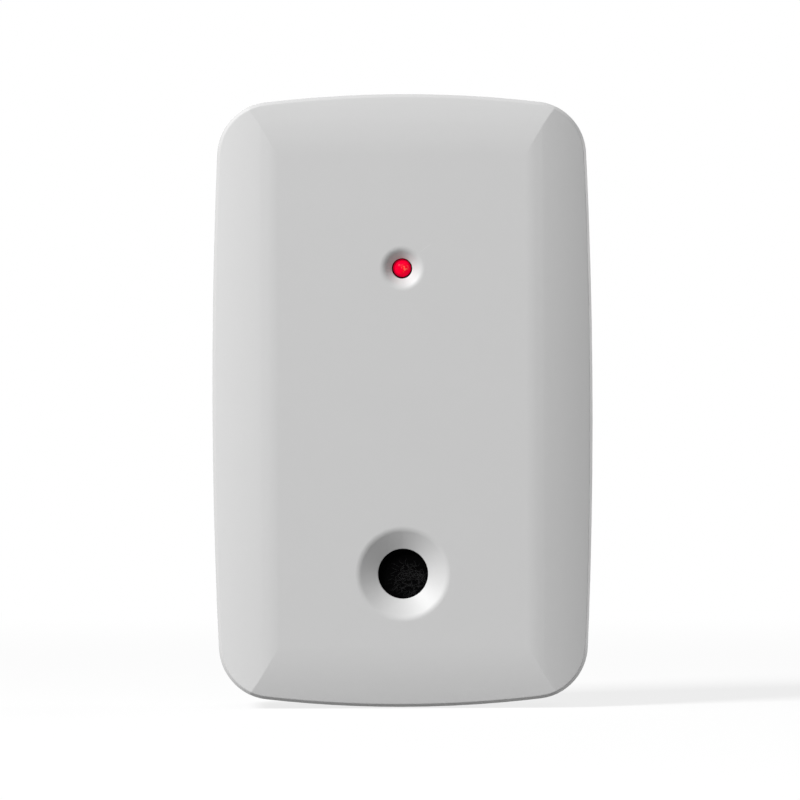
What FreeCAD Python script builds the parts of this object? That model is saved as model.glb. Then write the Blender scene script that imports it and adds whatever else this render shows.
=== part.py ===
import FreeCAD, Part

import math
import os

import Sketcher
from FreeCAD import Vector

# Glass break sensor for a wall. The wall plane is y = 0, the front looks along -Y and +Z is up.
# The origin is the centre of the back face. Depths are measured forward from the wall plane.

SIZES = {
    # Case outline, seen from the front
    "case_width": 60.4,
    "case_height": 97.0,
    "case_depth": 23.0,
    "side_arc_radius": 860.0,
    "end_arc_radius": 185.0,
    "corner_radius": 8.7,
    "draft_angle": 0.7,
    "side_wall": 2.0,
    "front_wall": 2.0,
    "front_edge_chamfer": 0.45,
    # Side bevels and rolled ends, their widths measured in from the case sides and ends
    "bevel_width": 10.5,
    "crease_radius": 15.0,
    "bevel_radius": 38.0,
    "bevel_drop": 2.48,
    "top_roll_length": 9.5,
    "top_roll_radius": 42.0,
    "bottom_roll_length": 9.5,
    "bottom_roll_radius": 42.0,
    # Indicator dimple
    "led_height": 20.8,
    "led_dimple_diameter": 7.0,
    "led_dimple_slope_angle": 32.0,
    "led_dimple_lip": 1.7,
    "led_hole_diameter": 3.2,
    "led_hole_length": 0.8,
    "led_relief_diameter": 4.6,
    # Microphone dimple and sound port
    "microphone_drop": 27.3,
    "port_dimple_diameter": 14.9,
    "port_dimple_slope_angle": 23.5,
    "port_dimple_lip": 1.9,
    "port_diameter": 7.9,
    "port_boss_diameter": 18.4,
    "port_floor": 1.2,
    # Back plate
    "plate_thickness": 1.6,
    "plate_inset": 0.15,
    "rim_gap": 0.35,
    "rim_thickness": 1.4,
    "rim_height": 6.4,
    "rim_draft_angle": 1.0,
    "cover_seat_gap": 0.1,
    "wall_hole_diameter": 4.2,
    "wall_hole_spread": 41.0,
    "wall_hole_rise": 80.0,
    "cable_entry_width": 17.0,
    "cable_entry_height": 7.0,
    "cable_entry_rise": 39.2,
    "cable_lip_width": 1.2,
    "cable_lip_height": 1.0,
    # Hinge tongues and their windows, snap bead, pry notch
    "tongue_width": 6.0,
    "tongue_offset": 14.0,
    "tongue_thickness": 1.2,
    "tongue_setback": 0.9,
    "tongue_engagement": 0.85,
    "window_side_gap": 0.4,
    "window_gap": 0.15,
    "bead_width": 14.0,
    "bead_height": 0.2,
    "bead_length": 1.6,
    "bead_setback": 2.0,
    "notch_width": 8.0,
    "notch_depth": 1.2,
    # Circuit board and its posts
    "board_setback": 11.4,
    "board_thickness": 1.6,
    "board_side_gap": 2.45,
    "board_length": 70.5,
    "board_drop": 1.25,
    "board_corner": 2.0,
    "post_width": 6.0,
    "post_side_gap": 3.5,
    "post_low_gap": 3.5,
    "post_high_gap": 10.5,
    "post_rib_thickness": 1.2,
    "post_rib_gap": 0.35,
    "peg_diameter": 2.4,
    "peg_length": 2.6,
    "peg_gap": 0.15,
    "screw_diameter": 2.5,
    "screw_length": 6.0,
    "screw_head_diameter": 4.8,
    "screw_head_height": 1.7,
    "screw_slot_width": 0.8,
    "screw_slot_depth": 0.9,
    "screw_bore_gap": 0.05,
    "screw_bore_spare": 0.8,
    "screw_pass_gap": 0.2,
    # Leads and the holes that they pass through
    "lead_gap": 0.15,
    "lead_tail": 1.2,
    "lead_pitch": 2.54,
    # Indicator
    "led_diameter": 3.0,
    "led_length": 5.3,
    "led_flange_diameter": 3.8,
    "led_flange_thickness": 1.0,
    "led_lead_width": 0.5,
    "led_spacer_diameter": 4.6,
    "led_spacer_bore": 3.4,
    # Microphone
    "capsule_diameter": 9.7,
    "capsule_length": 6.7,
    "felt_diameter": 9.0,
    "felt_thickness": 0.5,
    "felt_gap": 0.3,
    "boot_wall": 1.5,
    "boot_lip": 1.1,
    "boot_gap": 0.05,
    "microphone_pin_width": 0.6,
    # Tamper switch
    "switch_side_gap": 7.5,
    "switch_drop": 10.5,
    "switch_width": 6.0,
    "switch_height": 3.8,
    "switch_floor": 0.8,
    "switch_bore": 4.2,
    "switch_plate_thickness": 0.4,
    "plunger_diameter": 3.0,
    "plunger_flange_diameter": 3.9,
    "plunger_flange_thickness": 0.6,
    "plunger_travel": 1.2,
    "plunger_stand": 1.6,
    "plunger_gap": 0.1,
    "tamper_post_diameter": 4.0,
    "tamper_post_gap": 0.1,
    "spring_diameter": 2.9,
    "spring_wire": 0.3,
    "spring_turns": 2.5,
    "switch_pin_width": 0.7,
    "switch_pin_spread": 4.5,
    # Wiring terminals
    "terminal_pitch": 5.0,
    "terminal_ends": 0.6,
    "terminal_rise": 29.5,
    "terminal_depth": 8.0,
    "terminal_height": 10.0,
    "terminal_shoulder": 3.0,
    "terminal_well": 4.0,
    "terminal_well_depth": 4.6,
    "terminal_mouth_width": 3.6,
    "terminal_mouth_height": 3.8,
    "terminal_mouth_depth": 6.2,
    "terminal_mouth_rise": 0.9,
    "terminal_screw_diameter": 3.7,
    "terminal_screw_height": 1.8,
    "terminal_screw_slot": 0.7,
    "terminal_screw_sink": 0.9,
    "terminal_fit": 0.1,
    "clamp_wall": 0.5,
    "clamp_length": 5.0,
    "terminal_pin_width": 0.9,
    # Alarm relay
    "relay_side_gap": 9.4,
    "relay_rise": 12.4,
    "relay_width": 10.2,
    "relay_length": 15.4,
    "relay_height": 9.6,
    "relay_chamfer": 0.5,
    "relay_pin_width": 0.6,
    "relay_pin_row": 7.6,
    "relay_pin_pitch": 5.08,
    # Capacitors
    "large_capacitor_side_gap": 9.4,
    "large_capacitor_rise": 17.2,
    "large_capacitor_diameter": 8.0,
    "large_capacitor_length": 9.0,
    "small_capacitor_side_gap": 3.8,
    "small_capacitor_rise": 4.6,
    "small_capacitor_diameter": 5.0,
    "small_capacitor_length": 7.0,
    "capacitor_chamfer": 0.4,
    "capacitor_lead_width": 0.5,
    "large_capacitor_lead_pitch": 3.5,
    "small_capacitor_lead_pitch": 2.0,
    # Chips
    "controller_offset": 4.4,
    "controller_rise": 0.5,
    "controller_length": 17.9,
    "controller_width": 7.5,
    "controller_height": 2.3,
    "controller_lead_count": 14,
    "amplifier_side_gap": 13.8,
    "amplifier_drop": 14.0,
    "amplifier_length": 8.7,
    "amplifier_width": 3.9,
    "amplifier_height": 1.5,
    "amplifier_lead_count": 7,
    "chip_lead_pitch": 1.27,
    "chip_lead_width": 0.42,
    "chip_lead_thickness": 0.2,
    "chip_lead_foot": 0.8,
    "chip_lead_reach": 1.4,
    "chip_stand": 0.15,
    # Crystal
    "crystal_side_gap": 11.0,
    "crystal_drop": 2.2,
    "crystal_length": 11.0,
    "crystal_width": 4.6,
    "crystal_height": 3.5,
    "crystal_base": 0.5,
    "crystal_flange": 0.4,
    "crystal_pin_pitch": 4.9,
    "crystal_pin_width": 0.43,
    # Jumpers
    "jumper_offset": 4.0,
    "jumper_drop": 13.4,
    "jumper_columns": 3,
    "jumper_base_height": 2.5,
    "jumper_pin_width": 0.64,
    "jumper_pin_length": 6.0,
    "jumper_cap_height": 6.0,
    "jumper_cap_gap": 0.1,
    "jumper_cap_stand": 0.1,
    # Small surface parts
    "resistor_length": 2.0,
    "resistor_width": 1.25,
    "resistor_height": 0.5,
    "resistor_pitch": 2.6,
    "resistor_drop": 7.6,
    "resistor_start": 6.4,
    "resistor_count": 7,
    "chip_capacitor_length": 2.0,
    "chip_capacitor_width": 1.25,
    "chip_capacitor_height": 0.9,
    "chip_capacitor_pitch": 2.7,
    "chip_capacitor_drop": 19.6,
    "chip_capacitor_side_gap": 3.6,
    "chip_capacitor_count": 6,
    "transistor_side_gap": 3.4,
    "transistor_drop": 10.4,
    "transistor_pitch": 4.6,
    "transistor_length": 2.9,
    "transistor_width": 1.3,
    "transistor_height": 1.0,
    "transistor_reach": 0.5,
    "regulator_side_gap": 8.0,
    "regulator_drop": 23.0,
    "regulator_length": 4.5,
    "regulator_width": 2.5,
    "regulator_height": 1.5,
    "regulator_tab": 1.0,
    "diode_offset": 2.2,
    "diode_rise": 15.6,
    "diode_pitch": 4.0,
    "diode_length": 4.4,
    "diode_width": 2.6,
    "diode_height": 2.1,
    # Room left outside the case by the profiles that trim it
    "trim_margin": 2.0,
}

FULL_TURN = 360.0
AXIS_REST = "Axis0"
TOUCHING = 0.01

DOC = FreeCAD.newDocument("glass_break_sensor")


class Size:
    """A number in millimetres together with the sheet expression that it came from."""

    def __init__(self, number, text):
        self.number = float(number)
        self.text = text

    @staticmethod
    def of(value):
        """Give a plain factor such as 2 the same form as a named size."""
        if isinstance(value, Size):
            return value
        return Size(value, repr(float(value)))

    def _with(self, other, sign, number):
        return Size(number, "(%s %s %s)" % (self.text, sign, other.text))

    def __add__(self, other):
        other = Size.of(other)
        return self._with(other, "+", self.number + other.number)

    def __radd__(self, other):
        return Size.of(other) + self

    def __sub__(self, other):
        other = Size.of(other)
        return self._with(other, "-", self.number - other.number)

    def __rsub__(self, other):
        return Size.of(other) - self

    def __mul__(self, other):
        other = Size.of(other)
        return self._with(other, "*", self.number * other.number)

    def __rmul__(self, other):
        return Size.of(other) * self

    def __truediv__(self, other):
        other = Size.of(other)
        return self._with(other, "/", self.number / other.number)

    def __neg__(self):
        return Size(-self.number, "(0 - %s)" % self.text)

    def root(self):
        """Square root."""
        return Size(math.sqrt(self.number), "sqrt(%s)" % self.text)

    def sine(self):
        """Sine of an angle in degrees."""
        return Size(math.sin(math.radians(self.number)), "sin(%s)" % self.text)

    def cosine(self):
        """Cosine of an angle in degrees."""
        return Size(math.cos(math.radians(self.number)), "cos(%s)" % self.text)


class Sheet:
    """The spreadsheet of driving dimensions, read as attributes."""

    def __init__(self, sizes):
        sheet = DOC.addObject("Spreadsheet::Sheet", "Sizes")
        for row, (alias, number) in enumerate(sizes.items(), start=1):
            sheet.set("A%d" % row, alias)
            sheet.set("B%d" % row, str(number))
            sheet.setAlias("B%d" % row, alias)
            setattr(self, alias, Size(number, "Sizes.%s" % alias))
        DOC.recompute()


S = Sheet(SIZES)
ZERO = Size.of(0)
NODES = []


# Sketching

def origin_item(body, role):
    """Return one of a body's own origin planes or axes."""
    return [item for item in body.Origin.OriginFeatures if item.Role == role][0]


def start_body(label):
    """Start a named piece."""
    body = DOC.addObject("PartDesign::Body", label)
    body.Label = label
    return body


def keep(piece):
    """Mark a finished piece as a node of the product."""
    NODES.append(piece)
    return piece


def arc_through(first, last, radius, side):
    """Arc between two points; side +1 has its centre to the left of the run from first to last."""
    middle = (first + last) / 2
    chord = last - first
    half = chord.Length / 2
    rise = math.sqrt(max(radius * radius - half * half, 0.0))
    left = Vector(-chord.y, chord.x, 0).normalize()
    centre = middle + left * (rise * side)
    start, end = (first, last) if side > 0 else (last, first)
    angle_start = math.atan2(start.y - centre.y, start.x - centre.x)
    angle_end = math.atan2(end.y - centre.y, end.x - centre.x)
    if angle_end <= angle_start:
        angle_end += 2 * math.pi
    circle = Part.Circle(centre, Vector(0, 0, 1), radius)
    return Part.ArcOfCircle(circle, angle_start, angle_end)


class Drawing:
    """A sketch on an origin plane of one body, each size of it bound to the sheet."""

    START, END, CENTRE = range(1, 4)

    def __init__(self, body, name, role, offset=None):
        self.sketch = body.newObject("Sketcher::SketchObject", name)
        self.sketch.AttachmentSupport = [(origin_item(body, role), "")]
        self.sketch.MapMode = "FlatFace"
        if offset is not None:
            self.sketch.setExpression("AttachmentOffset.Base.z", offset.text)

    def bind(self, size, kind, *where):
        """Add one dimension and tie it to its size."""
        index = self.sketch.addConstraint(Sketcher.Constraint(kind, *where, size.number))
        self.sketch.setExpression("Constraints[%d]" % index, size.text)

    def rule(self, kind, *where):
        """Add one constraint without a size."""
        self.sketch.addConstraint(Sketcher.Constraint(kind, *where))

    def pin_point(self, geometry, end, point):
        """Hold one end of a line or arc at its place."""
        self.bind(point[0], "DistanceX", -1, 1, geometry, end)
        self.bind(point[1], "DistanceY", -1, 1, geometry, end)

    def circle(self, centre, radius):
        """Draw a circle."""
        spot = Vector(centre[0].number, centre[1].number, 0)
        index = self.sketch.addGeometry(Part.Circle(spot, Vector(0, 0, 1), radius.number))
        self.pin_point(index, self.CENTRE, centre)
        self.bind(radius, "Radius", index)

    def axis(self, first, last):
        """Draw the construction line that a turned shape goes round."""
        ends = [Vector(point[0].number, point[1].number, 0) for point in (first, last)]
        index = self.sketch.addGeometry(Part.LineSegment(*ends), True)
        self.pin_point(index, self.START, first)
        self.pin_point(index, self.END, last)

    def path(self, points, bows=None):
        """Closed run of lines; bows gives the runs that are arcs as {run: (radius, side)}."""
        bows = bows or {}
        spots = [Vector(point[0].number, point[1].number, 0) for point in points]
        runs = []
        for index, first in enumerate(spots):
            last = spots[(index + 1) % len(spots)]
            if index in bows:
                radius, side = bows[index]
                geometry = self.sketch.addGeometry(arc_through(first, last, radius.number, side))
                ends = (self.START, self.END) if side > 0 else (self.END, self.START)
            else:
                geometry = self.sketch.addGeometry(Part.LineSegment(first, last))
                ends = (self.START, self.END)
            runs.append((geometry, ends))
        for index, (geometry, ends) in enumerate(runs):
            following, following_ends = runs[(index + 1) % len(runs)]
            self.rule("Coincident", geometry, ends[1], following, following_ends[0])
        for (geometry, ends), point in zip(runs, points):
            self.pin_point(geometry, ends[0], point)
        for index, (radius, _side) in bows.items():
            self.bind(radius, "Radius", runs[index][0])

    def rectangle(self, low, high):
        """Draw an upright rectangle between two opposite corners."""
        self.path([low, (high[0], low[1]), high, (low[0], high[1])])


def corner_centre(width, height, inset):
    """Centre of the corner arc, found from the end arc and the side arc that it touches."""
    end_radius = SIZES["end_arc_radius"] - inset
    side_radius = SIZES["side_arc_radius"] - inset
    corner = SIZES["corner_radius"] - inset
    end_centre = Vector(0, height / 2 - end_radius, 0)
    side_centre = Vector(width / 2 - side_radius, 0, 0)
    reach_end = end_radius - corner
    reach_side = side_radius - corner
    line = side_centre - end_centre
    along = (reach_end ** 2 - reach_side ** 2 + line.Length ** 2) / (2 * line.Length)
    away = math.sqrt(max(reach_end ** 2 - along ** 2, 0.0))
    unit = Vector(line).normalize()
    normal = Vector(-unit.y, unit.x, 0)
    choices = [end_centre + unit * along + normal * away, end_centre + unit * along - normal * away]
    return max(choices, key=lambda spot: spot.x + spot.y)


def case_outline(drawing, inset):
    """Draw the case outline, moved inward all round by an inset."""
    width = SIZES["case_width"] - 2 * inset.number
    height = SIZES["case_height"] - 2 * inset.number
    end_radius = SIZES["end_arc_radius"] - inset.number
    side_radius = SIZES["side_arc_radius"] - inset.number
    corner = SIZES["corner_radius"] - inset.number
    spot = corner_centre(width, height, inset.number)
    end_centre = Vector(0, height / 2 - end_radius, 0)
    side_centre = Vector(width / 2 - side_radius, 0, 0)
    end_half = math.atan2(spot.x - end_centre.x, spot.y - end_centre.y)
    side_half = math.atan2(spot.y - side_centre.y, spot.x - side_centre.x)
    quarter = math.pi / 2
    arcs = [
        (side_centre, side_radius, -side_half, side_half),
        (spot, corner, side_half, quarter - end_half),
        (end_centre, end_radius, quarter - end_half, quarter + end_half),
        (Vector(-spot.x, spot.y, 0), corner, quarter + end_half, 2 * quarter - side_half),
        (-side_centre, side_radius, 2 * quarter - side_half, 2 * quarter + side_half),
        (-spot, corner, 2 * quarter + side_half, 3 * quarter - end_half),
        (-end_centre, end_radius, 3 * quarter - end_half, 3 * quarter + end_half),
        (Vector(spot.x, -spot.y, 0), corner, 3 * quarter + end_half, 4 * quarter - side_half),
    ]
    pieces = []
    for centre, radius, start, end in arcs:
        circle = Part.Circle(centre, Vector(0, 0, 1), radius)
        pieces.append(drawing.sketch.addGeometry(Part.ArcOfCircle(circle, start, end)))
    for piece, following in zip(pieces, pieces[1:] + pieces[:1]):
        drawing.rule("Tangent", piece, Drawing.END, following, Drawing.START)
    right, _, top, _, left, _, bottom, _ = pieces
    side_shift = S.side_arc_radius - S.case_width / 2
    end_shift = S.end_arc_radius - S.case_height / 2
    drawing.pin_point(right, Drawing.CENTRE, (-side_shift, ZERO))
    drawing.pin_point(left, Drawing.CENTRE, (side_shift, ZERO))
    drawing.pin_point(top, Drawing.CENTRE, (ZERO, -end_shift))
    drawing.pin_point(bottom, Drawing.CENTRE, (ZERO, end_shift))
    for piece in (right, left):
        drawing.bind(S.side_arc_radius - inset, "Radius", piece)
    for piece in (top, bottom):
        drawing.bind(S.end_arc_radius - inset, "Radius", piece)
    for piece in pieces[1::2]:
        drawing.bind(S.corner_radius - inset, "Radius", piece)


# Features

def shape_volume(body):
    """Volume of a body so far."""
    DOC.recompute()
    return body.Shape.Volume


def pad(body, name, drawing, length, taper=None, both_ways=False):
    """Raise a sketch into material."""
    feature = body.newObject("PartDesign::Pad", name)
    feature.Profile = drawing.sketch
    feature.setExpression("Length", length.text)
    if taper is not None:
        feature.setExpression("TaperAngle", taper.text)
    if both_ways:
        feature.SideType = "Symmetric"
    body.Tip = feature
    return feature


def cut(body, name, drawing, length=None, both_ways=False):
    """Cut a sketch into a body, and make sure that it removes something."""
    before = shape_volume(body)
    feature = body.newObject("PartDesign::Pocket", name)
    feature.Profile = drawing.sketch
    if length is None:
        feature.Type = "ThroughAll"
    else:
        feature.setExpression("Length", length.text)
    if both_ways:
        feature.SideType = "Symmetric"
    body.Tip = feature
    if shape_volume(body) >= before:
        raise ValueError("%s cuts nothing" % name)
    return feature


def turned(body, name, centre, profile, bows=None, removing=False):
    """Turn a profile of (depth, radius) pairs about a front-to-back axis at a centre."""
    across, up = centre
    drawing = Drawing(body, name + "_profile", "YZ_Plane", across)
    depths = [point[0] for point in profile]
    low = min(depths, key=lambda size: size.number)
    high = max(depths, key=lambda size: size.number)
    drawing.axis((-low, up), (-high, up))
    drawing.path([(-depth, up + radius) for depth, radius in profile], bows)
    before = shape_volume(body) if removing else 0.0
    kind = "PartDesign::Groove" if removing else "PartDesign::Revolution"
    feature = body.newObject(kind, name)
    feature.Profile = drawing.sketch
    feature.ReferenceAxis = (drawing.sketch, [AXIS_REST])
    feature.Angle = FULL_TURN
    body.Tip = feature
    if removing and shape_volume(body) >= before:
        raise ValueError("%s cuts nothing" % name)
    return feature


def repeated(body, name, originals, role, pitch, count):
    """Repeat features in a row along one origin axis."""
    DOC.recompute()
    feature = body.newObject("PartDesign::LinearPattern", name)
    feature.Originals = originals
    feature.Direction = (origin_item(body, role), [""])
    feature.Mode = "Spacing"
    feature.setExpression("Offset", pitch.text)
    feature.setExpression("Occurrences", count.text)
    body.Tip = feature
    return feature


def mirrored(body, name, originals, role="YZ_Plane"):
    """Mirror features across one origin plane."""
    DOC.recompute()
    feature = body.newObject("PartDesign::Mirrored", name)
    feature.Originals = originals
    feature.MirrorPlane = (origin_item(body, role), [""])
    body.Tip = feature
    return feature


def disc(body, name, centres, radius, rear, front):
    """Raise one or more round posts or pins between two depths."""
    drawing = Drawing(body, name + "_sketch", "XZ_Plane", rear)
    for centre in centres:
        drawing.circle(centre, radius)
    return pad(body, name, drawing, front - rear)


def block(body, name, low, high, rear, front):
    """Raise a rectangle between two depths."""
    drawing = Drawing(body, name + "_sketch", "XZ_Plane", rear)
    drawing.rectangle(low, high)
    return pad(body, name, drawing, front - rear)


def square(drawing, centre, width):
    """Draw an upright square about its centre."""
    drawing.rectangle(*centred(centre, width, width))


def centred(centre, width, height):
    """Low and high corners of a rectangle about its centre."""
    low = (centre[0] - width / 2, centre[1] - height / 2)
    high = (centre[0] + width / 2, centre[1] + height / 2)
    return low, high


def chamfered(body, name, size, choose):
    """Chamfer the edges of a body that a test picks."""
    DOC.recompute()
    base = body.Tip
    chosen = []
    for index, edge in enumerate(base.Shape.Edges, start=1):
        if choose(base.Shape, edge):
            chosen.append("Edge%d" % index)
    feature = body.newObject("PartDesign::Chamfer", name)
    feature.Base = (base, chosen)
    feature.setExpression("Size", size.text)
    body.Tip = feature
    return feature


# Depths and places shared by several pieces

PLATE_FRONT = S.plate_thickness
COVER_REAR = PLATE_FRONT + S.cover_seat_gap
INNER_FRONT = S.case_depth - S.front_wall
BOARD_FRONT = INNER_FRONT - S.board_setback
BOARD_REAR = BOARD_FRONT - S.board_thickness
TAIL_REAR = BOARD_REAR - S.lead_tail
HINGE_RISE = S.case_height / 2

RIM_INSIDE = S.side_wall + S.rim_gap + S.rim_thickness
BOARD_HALF = S.case_width / 2 - RIM_INSIDE - S.board_side_gap
BOARD_LOW = -S.board_drop - S.board_length / 2
BOARD_HIGH = -S.board_drop + S.board_length / 2


def from_left(gap):
    """Place measured in from the left edge of the board."""
    return gap - BOARD_HALF


def from_right(gap):
    """Place measured in from the right edge of the board."""
    return BOARD_HALF - gap


LED_CENTRE = (ZERO, S.led_height)
PORT_CENTRE = (ZERO, -S.microphone_drop)
SWITCH_CENTRE = (from_right(S.switch_side_gap), -S.switch_drop)
POST_LOW = BOARD_LOW + S.post_low_gap
POST_HIGH = BOARD_HIGH - S.post_high_gap
PEG_LOW = (from_left(S.post_side_gap), POST_LOW)
PEG_HIGH = (from_right(S.post_side_gap), POST_HIGH)
SCREW_LOW = (from_right(S.post_side_gap), POST_LOW)
SCREW_HIGH = (from_left(S.post_side_gap), POST_HIGH)


def dimple_depth(rim, hole, lip, slope):
    """Depth of a dimple whose rounded lip runs on into a cone down to its hole."""
    cone = rim - lip * slope.sine() - hole
    return lip * (1 - slope.cosine()) + cone * slope.sine() / slope.cosine()


LED_FLOOR = S.case_depth - dimple_depth(
    S.led_dimple_diameter / 2, S.led_hole_diameter / 2, S.led_dimple_lip, S.led_dimple_slope_angle)
PORT_FLOOR = S.case_depth - dimple_depth(
    S.port_dimple_diameter / 2, S.port_diameter / 2, S.port_dimple_lip, S.port_dimple_slope_angle)
LED_HOLE_REAR = LED_FLOOR - S.led_hole_length
PORT_REAR = PORT_FLOOR - S.port_floor
LED_BASE = LED_FLOOR - S.led_length
FELT_FRONT = PORT_REAR - S.felt_gap
CAPSULE_FRONT = FELT_FRONT - S.felt_thickness
CAPSULE_REAR = CAPSULE_FRONT - S.capsule_length

SWITCH_TOP = BOARD_FRONT + S.switch_height
PLUNGER_FRONT = SWITCH_TOP + S.switch_plate_thickness + S.plunger_stand
PLUNGER_FLANGE_FRONT = SWITCH_TOP - S.plunger_travel
PLUNGER_FLANGE_REAR = PLUNGER_FLANGE_FRONT - S.plunger_flange_thickness
POST_TIP = PLUNGER_FRONT + S.tamper_post_gap


def lead_pair(centre, pitch):
    """Two lead positions side by side about a centre."""
    return [(centre[0] - pitch / 2, centre[1]), (centre[0] + pitch / 2, centre[1])]


# Front cover

def case_solid(body, tag, inset, setback, rear):
    """The bulged, bevelled and rolled form, used once for the outside and once for the hollow."""
    drawing = Drawing(body, tag + "_outline", "XZ_Plane", rear)
    case_outline(drawing, inset)
    pad(body, tag + "_block", drawing, S.case_depth - setback - rear, -S.draft_angle)
    front = -(S.case_depth - setback)
    margin = S.trim_margin
    far = S.case_width / 2 + margin
    edge = S.case_width / 2

    bevels = Drawing(body, tag + "_bevel_profile", "XY_Plane")
    for sign in (1, -1):
        bevel_region(bevels, front, edge, far, margin, sign)
    cut(body, tag + "_bevels", bevels, both_ways=True)

    rolls = Drawing(body, tag + "_roll_profile", "YZ_Plane")
    ends = (
        (1, S.top_roll_radius, S.top_roll_length),
        (-1, S.bottom_roll_radius, S.bottom_roll_length),
    )
    for sign, radius, length in ends:
        end = S.case_height / 2
        drop = radius - (radius * radius - length * length).root()
        points = [
            (front, sign * (end - length)),
            (front + drop, sign * end),
            (front + drop, sign * (end + margin)),
            (front - margin, sign * (end + margin)),
            (front - margin, sign * (end - length)),
        ]
        rolls.path(points, {0: (radius, -sign)})
    cut(body, tag + "_rolls", rolls, both_ways=True)


def bevel_region(drawing, front, edge, far, margin, sign):
    """The region in front of one side bevel: a crease arc that runs on into the bevel arc."""
    crease = S.case_width / 2 - S.bevel_width
    start = Vector(sign * crease.number, front.number, 0)
    end = Vector(sign * edge.number, front.number + S.bevel_drop.number, 0)
    crease_radius = S.crease_radius.number
    bevel_radius = S.bevel_radius.number
    crease_centre = start + Vector(0, crease_radius, 0)
    line = end - crease_centre
    reach = bevel_radius - crease_radius
    along = (reach ** 2 - bevel_radius ** 2 + line.Length ** 2) / (2 * line.Length)
    away = math.sqrt(max(reach ** 2 - along ** 2, 0.0))
    unit = Vector(line).normalize()
    normal = Vector(-unit.y, unit.x, 0)
    choices = [crease_centre + unit * along + normal * away, crease_centre + unit * along - normal * away]
    bevel_centre = max(choices, key=lambda spot: spot.y)
    touch = crease_centre + (crease_centre - bevel_centre).normalize() * crease_radius

    sketch = drawing.sketch
    crease_arc = sketch.addGeometry(arc_through(start, touch, crease_radius, sign))
    bevel_arc = sketch.addGeometry(arc_through(touch, end, bevel_radius, sign))
    ends = (Drawing.START, Drawing.END) if sign > 0 else (Drawing.END, Drawing.START)
    corners = [
        (sign * edge, front + S.bevel_drop),
        (sign * far, front + S.bevel_drop),
        (sign * far, front - margin),
        (sign * crease, front - margin),
        (sign * crease, front),
    ]
    spots = [Vector(point[0].number, point[1].number, 0) for point in corners]
    lines = []
    for first, last in zip(spots, spots[1:]):
        lines.append(sketch.addGeometry(Part.LineSegment(first, last)))
    for index, corner in zip(lines, corners):
        drawing.pin_point(index, Drawing.START, corner)
    for index, following in zip(lines, lines[1:]):
        drawing.rule("Coincident", index, Drawing.END, following, Drawing.START)
    drawing.pin_point(lines[-1], Drawing.END, corners[-1])
    drawing.rule("Coincident", lines[-1], Drawing.END, crease_arc, ends[0])
    drawing.rule("Coincident", bevel_arc, ends[1], lines[0], Drawing.START)
    drawing.rule("Tangent", crease_arc, ends[1], bevel_arc, ends[0])
    drawing.rule("Vertical", crease_arc, ends[0], crease_arc, Drawing.CENTRE)
    drawing.bind(S.crease_radius, "Radius", crease_arc)
    drawing.bind(S.bevel_radius, "Radius", bevel_arc)


def is_front_rim(shape, edge):
    """True for the edges where the side wall of the case turns into its front."""
    rear = -COVER_REAR.number
    middle = -SIZES["case_depth"] / 2
    faces = shape.ancestorsOfType(edge, Part.Face)
    wall_faces = [face for face in faces if abs(face.BoundBox.YMax - rear) < TOUCHING]
    return len(wall_faces) == 1 and edge.BoundBox.YMax < middle


def make_front_cover():
    """Moulded shell with both dimples, hook tongues, snap bead, pry notch and tamper post."""
    body = start_body("front_cover")
    case_solid(body, "case", ZERO, ZERO, COVER_REAR)
    chamfered(body, "front_edge", S.front_edge_chamfer, is_front_rim)

    hollow = DOC.addObject("PartDesign::Body", "cover_hollow")
    case_solid(hollow, "hollow", S.side_wall, S.front_wall, COVER_REAR)
    DOC.recompute()
    shelled = body.newObject("PartDesign::Boolean", "hollowed")
    shelled.Type = "Cut"
    shelled.setObjects([hollow])
    body.Tip = shelled
    DOC.recompute()

    inside_wall = INNER_FRONT + S.front_wall / 2
    disc(body, "port_boss", [PORT_CENTRE], S.port_boss_diameter / 2, PORT_REAR, inside_wall)
    disc(body, "tamper_post", [SWITCH_CENTRE], S.tamper_post_diameter / 2, POST_TIP, inside_wall)
    dimple(body, "led_dimple", LED_CENTRE, (LED_FLOOR, INNER_FRONT), S.led_hole_diameter / 2,
           S.led_dimple_diameter / 2, S.led_dimple_lip, S.led_dimple_slope_angle)
    relief = Drawing(body, "led_relief_sketch", "XZ_Plane", LED_HOLE_REAR)
    relief.circle(LED_CENTRE, S.led_relief_diameter / 2)
    cut(body, "led_relief", relief, LED_HOLE_REAR - INNER_FRONT + S.trim_margin)
    dimple(body, "port_dimple", PORT_CENTRE, (PORT_FLOOR, PORT_REAR), S.port_diameter / 2,
           S.port_dimple_diameter / 2, S.port_dimple_lip, S.port_dimple_slope_angle)

    tongue = Drawing(body, "tongue_profile", "YZ_Plane", S.tongue_offset)
    rear = COVER_REAR + S.tongue_setback
    front = rear + S.tongue_thickness
    tip = HINGE_RISE - RIM_INSIDE - S.tongue_engagement
    root = HINGE_RISE - S.side_wall / 2 - (S.case_height / 2 - tongue_wall_rise())
    tongue.path([(-rear, tip), (-rear, root), (-front, root), (-front, tip)])
    hook = pad(body, "tongue", tongue, S.tongue_width, both_ways=True)
    mirrored(body, "tongues", [hook])

    bead_rear = COVER_REAR + S.bead_setback
    bead_front = bead_rear + S.bead_length
    inner_low = -(S.case_height / 2 - S.side_wall)
    bead = Drawing(body, "bead_profile", "YZ_Plane")
    bead.path([
        (-bead_rear, inner_low - S.side_wall / 2),
        (-bead_rear, inner_low),
        (-(bead_rear + bead_front) / 2, inner_low + S.bead_height),
        (-bead_front, inner_low),
        (-bead_front, inner_low - S.side_wall / 2),
    ])
    pad(body, "snap_bead", bead, S.bead_width, both_ways=True)

    notch = Drawing(body, "notch_profile", "YZ_Plane")
    notch.rectangle((-(COVER_REAR + S.notch_depth), inner_low - S.side_wall - S.trim_margin),
                    (-COVER_REAR, inner_low + S.bead_height))
    cut(body, "pry_notch", notch, S.notch_width, both_ways=True)
    return keep(body)


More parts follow.
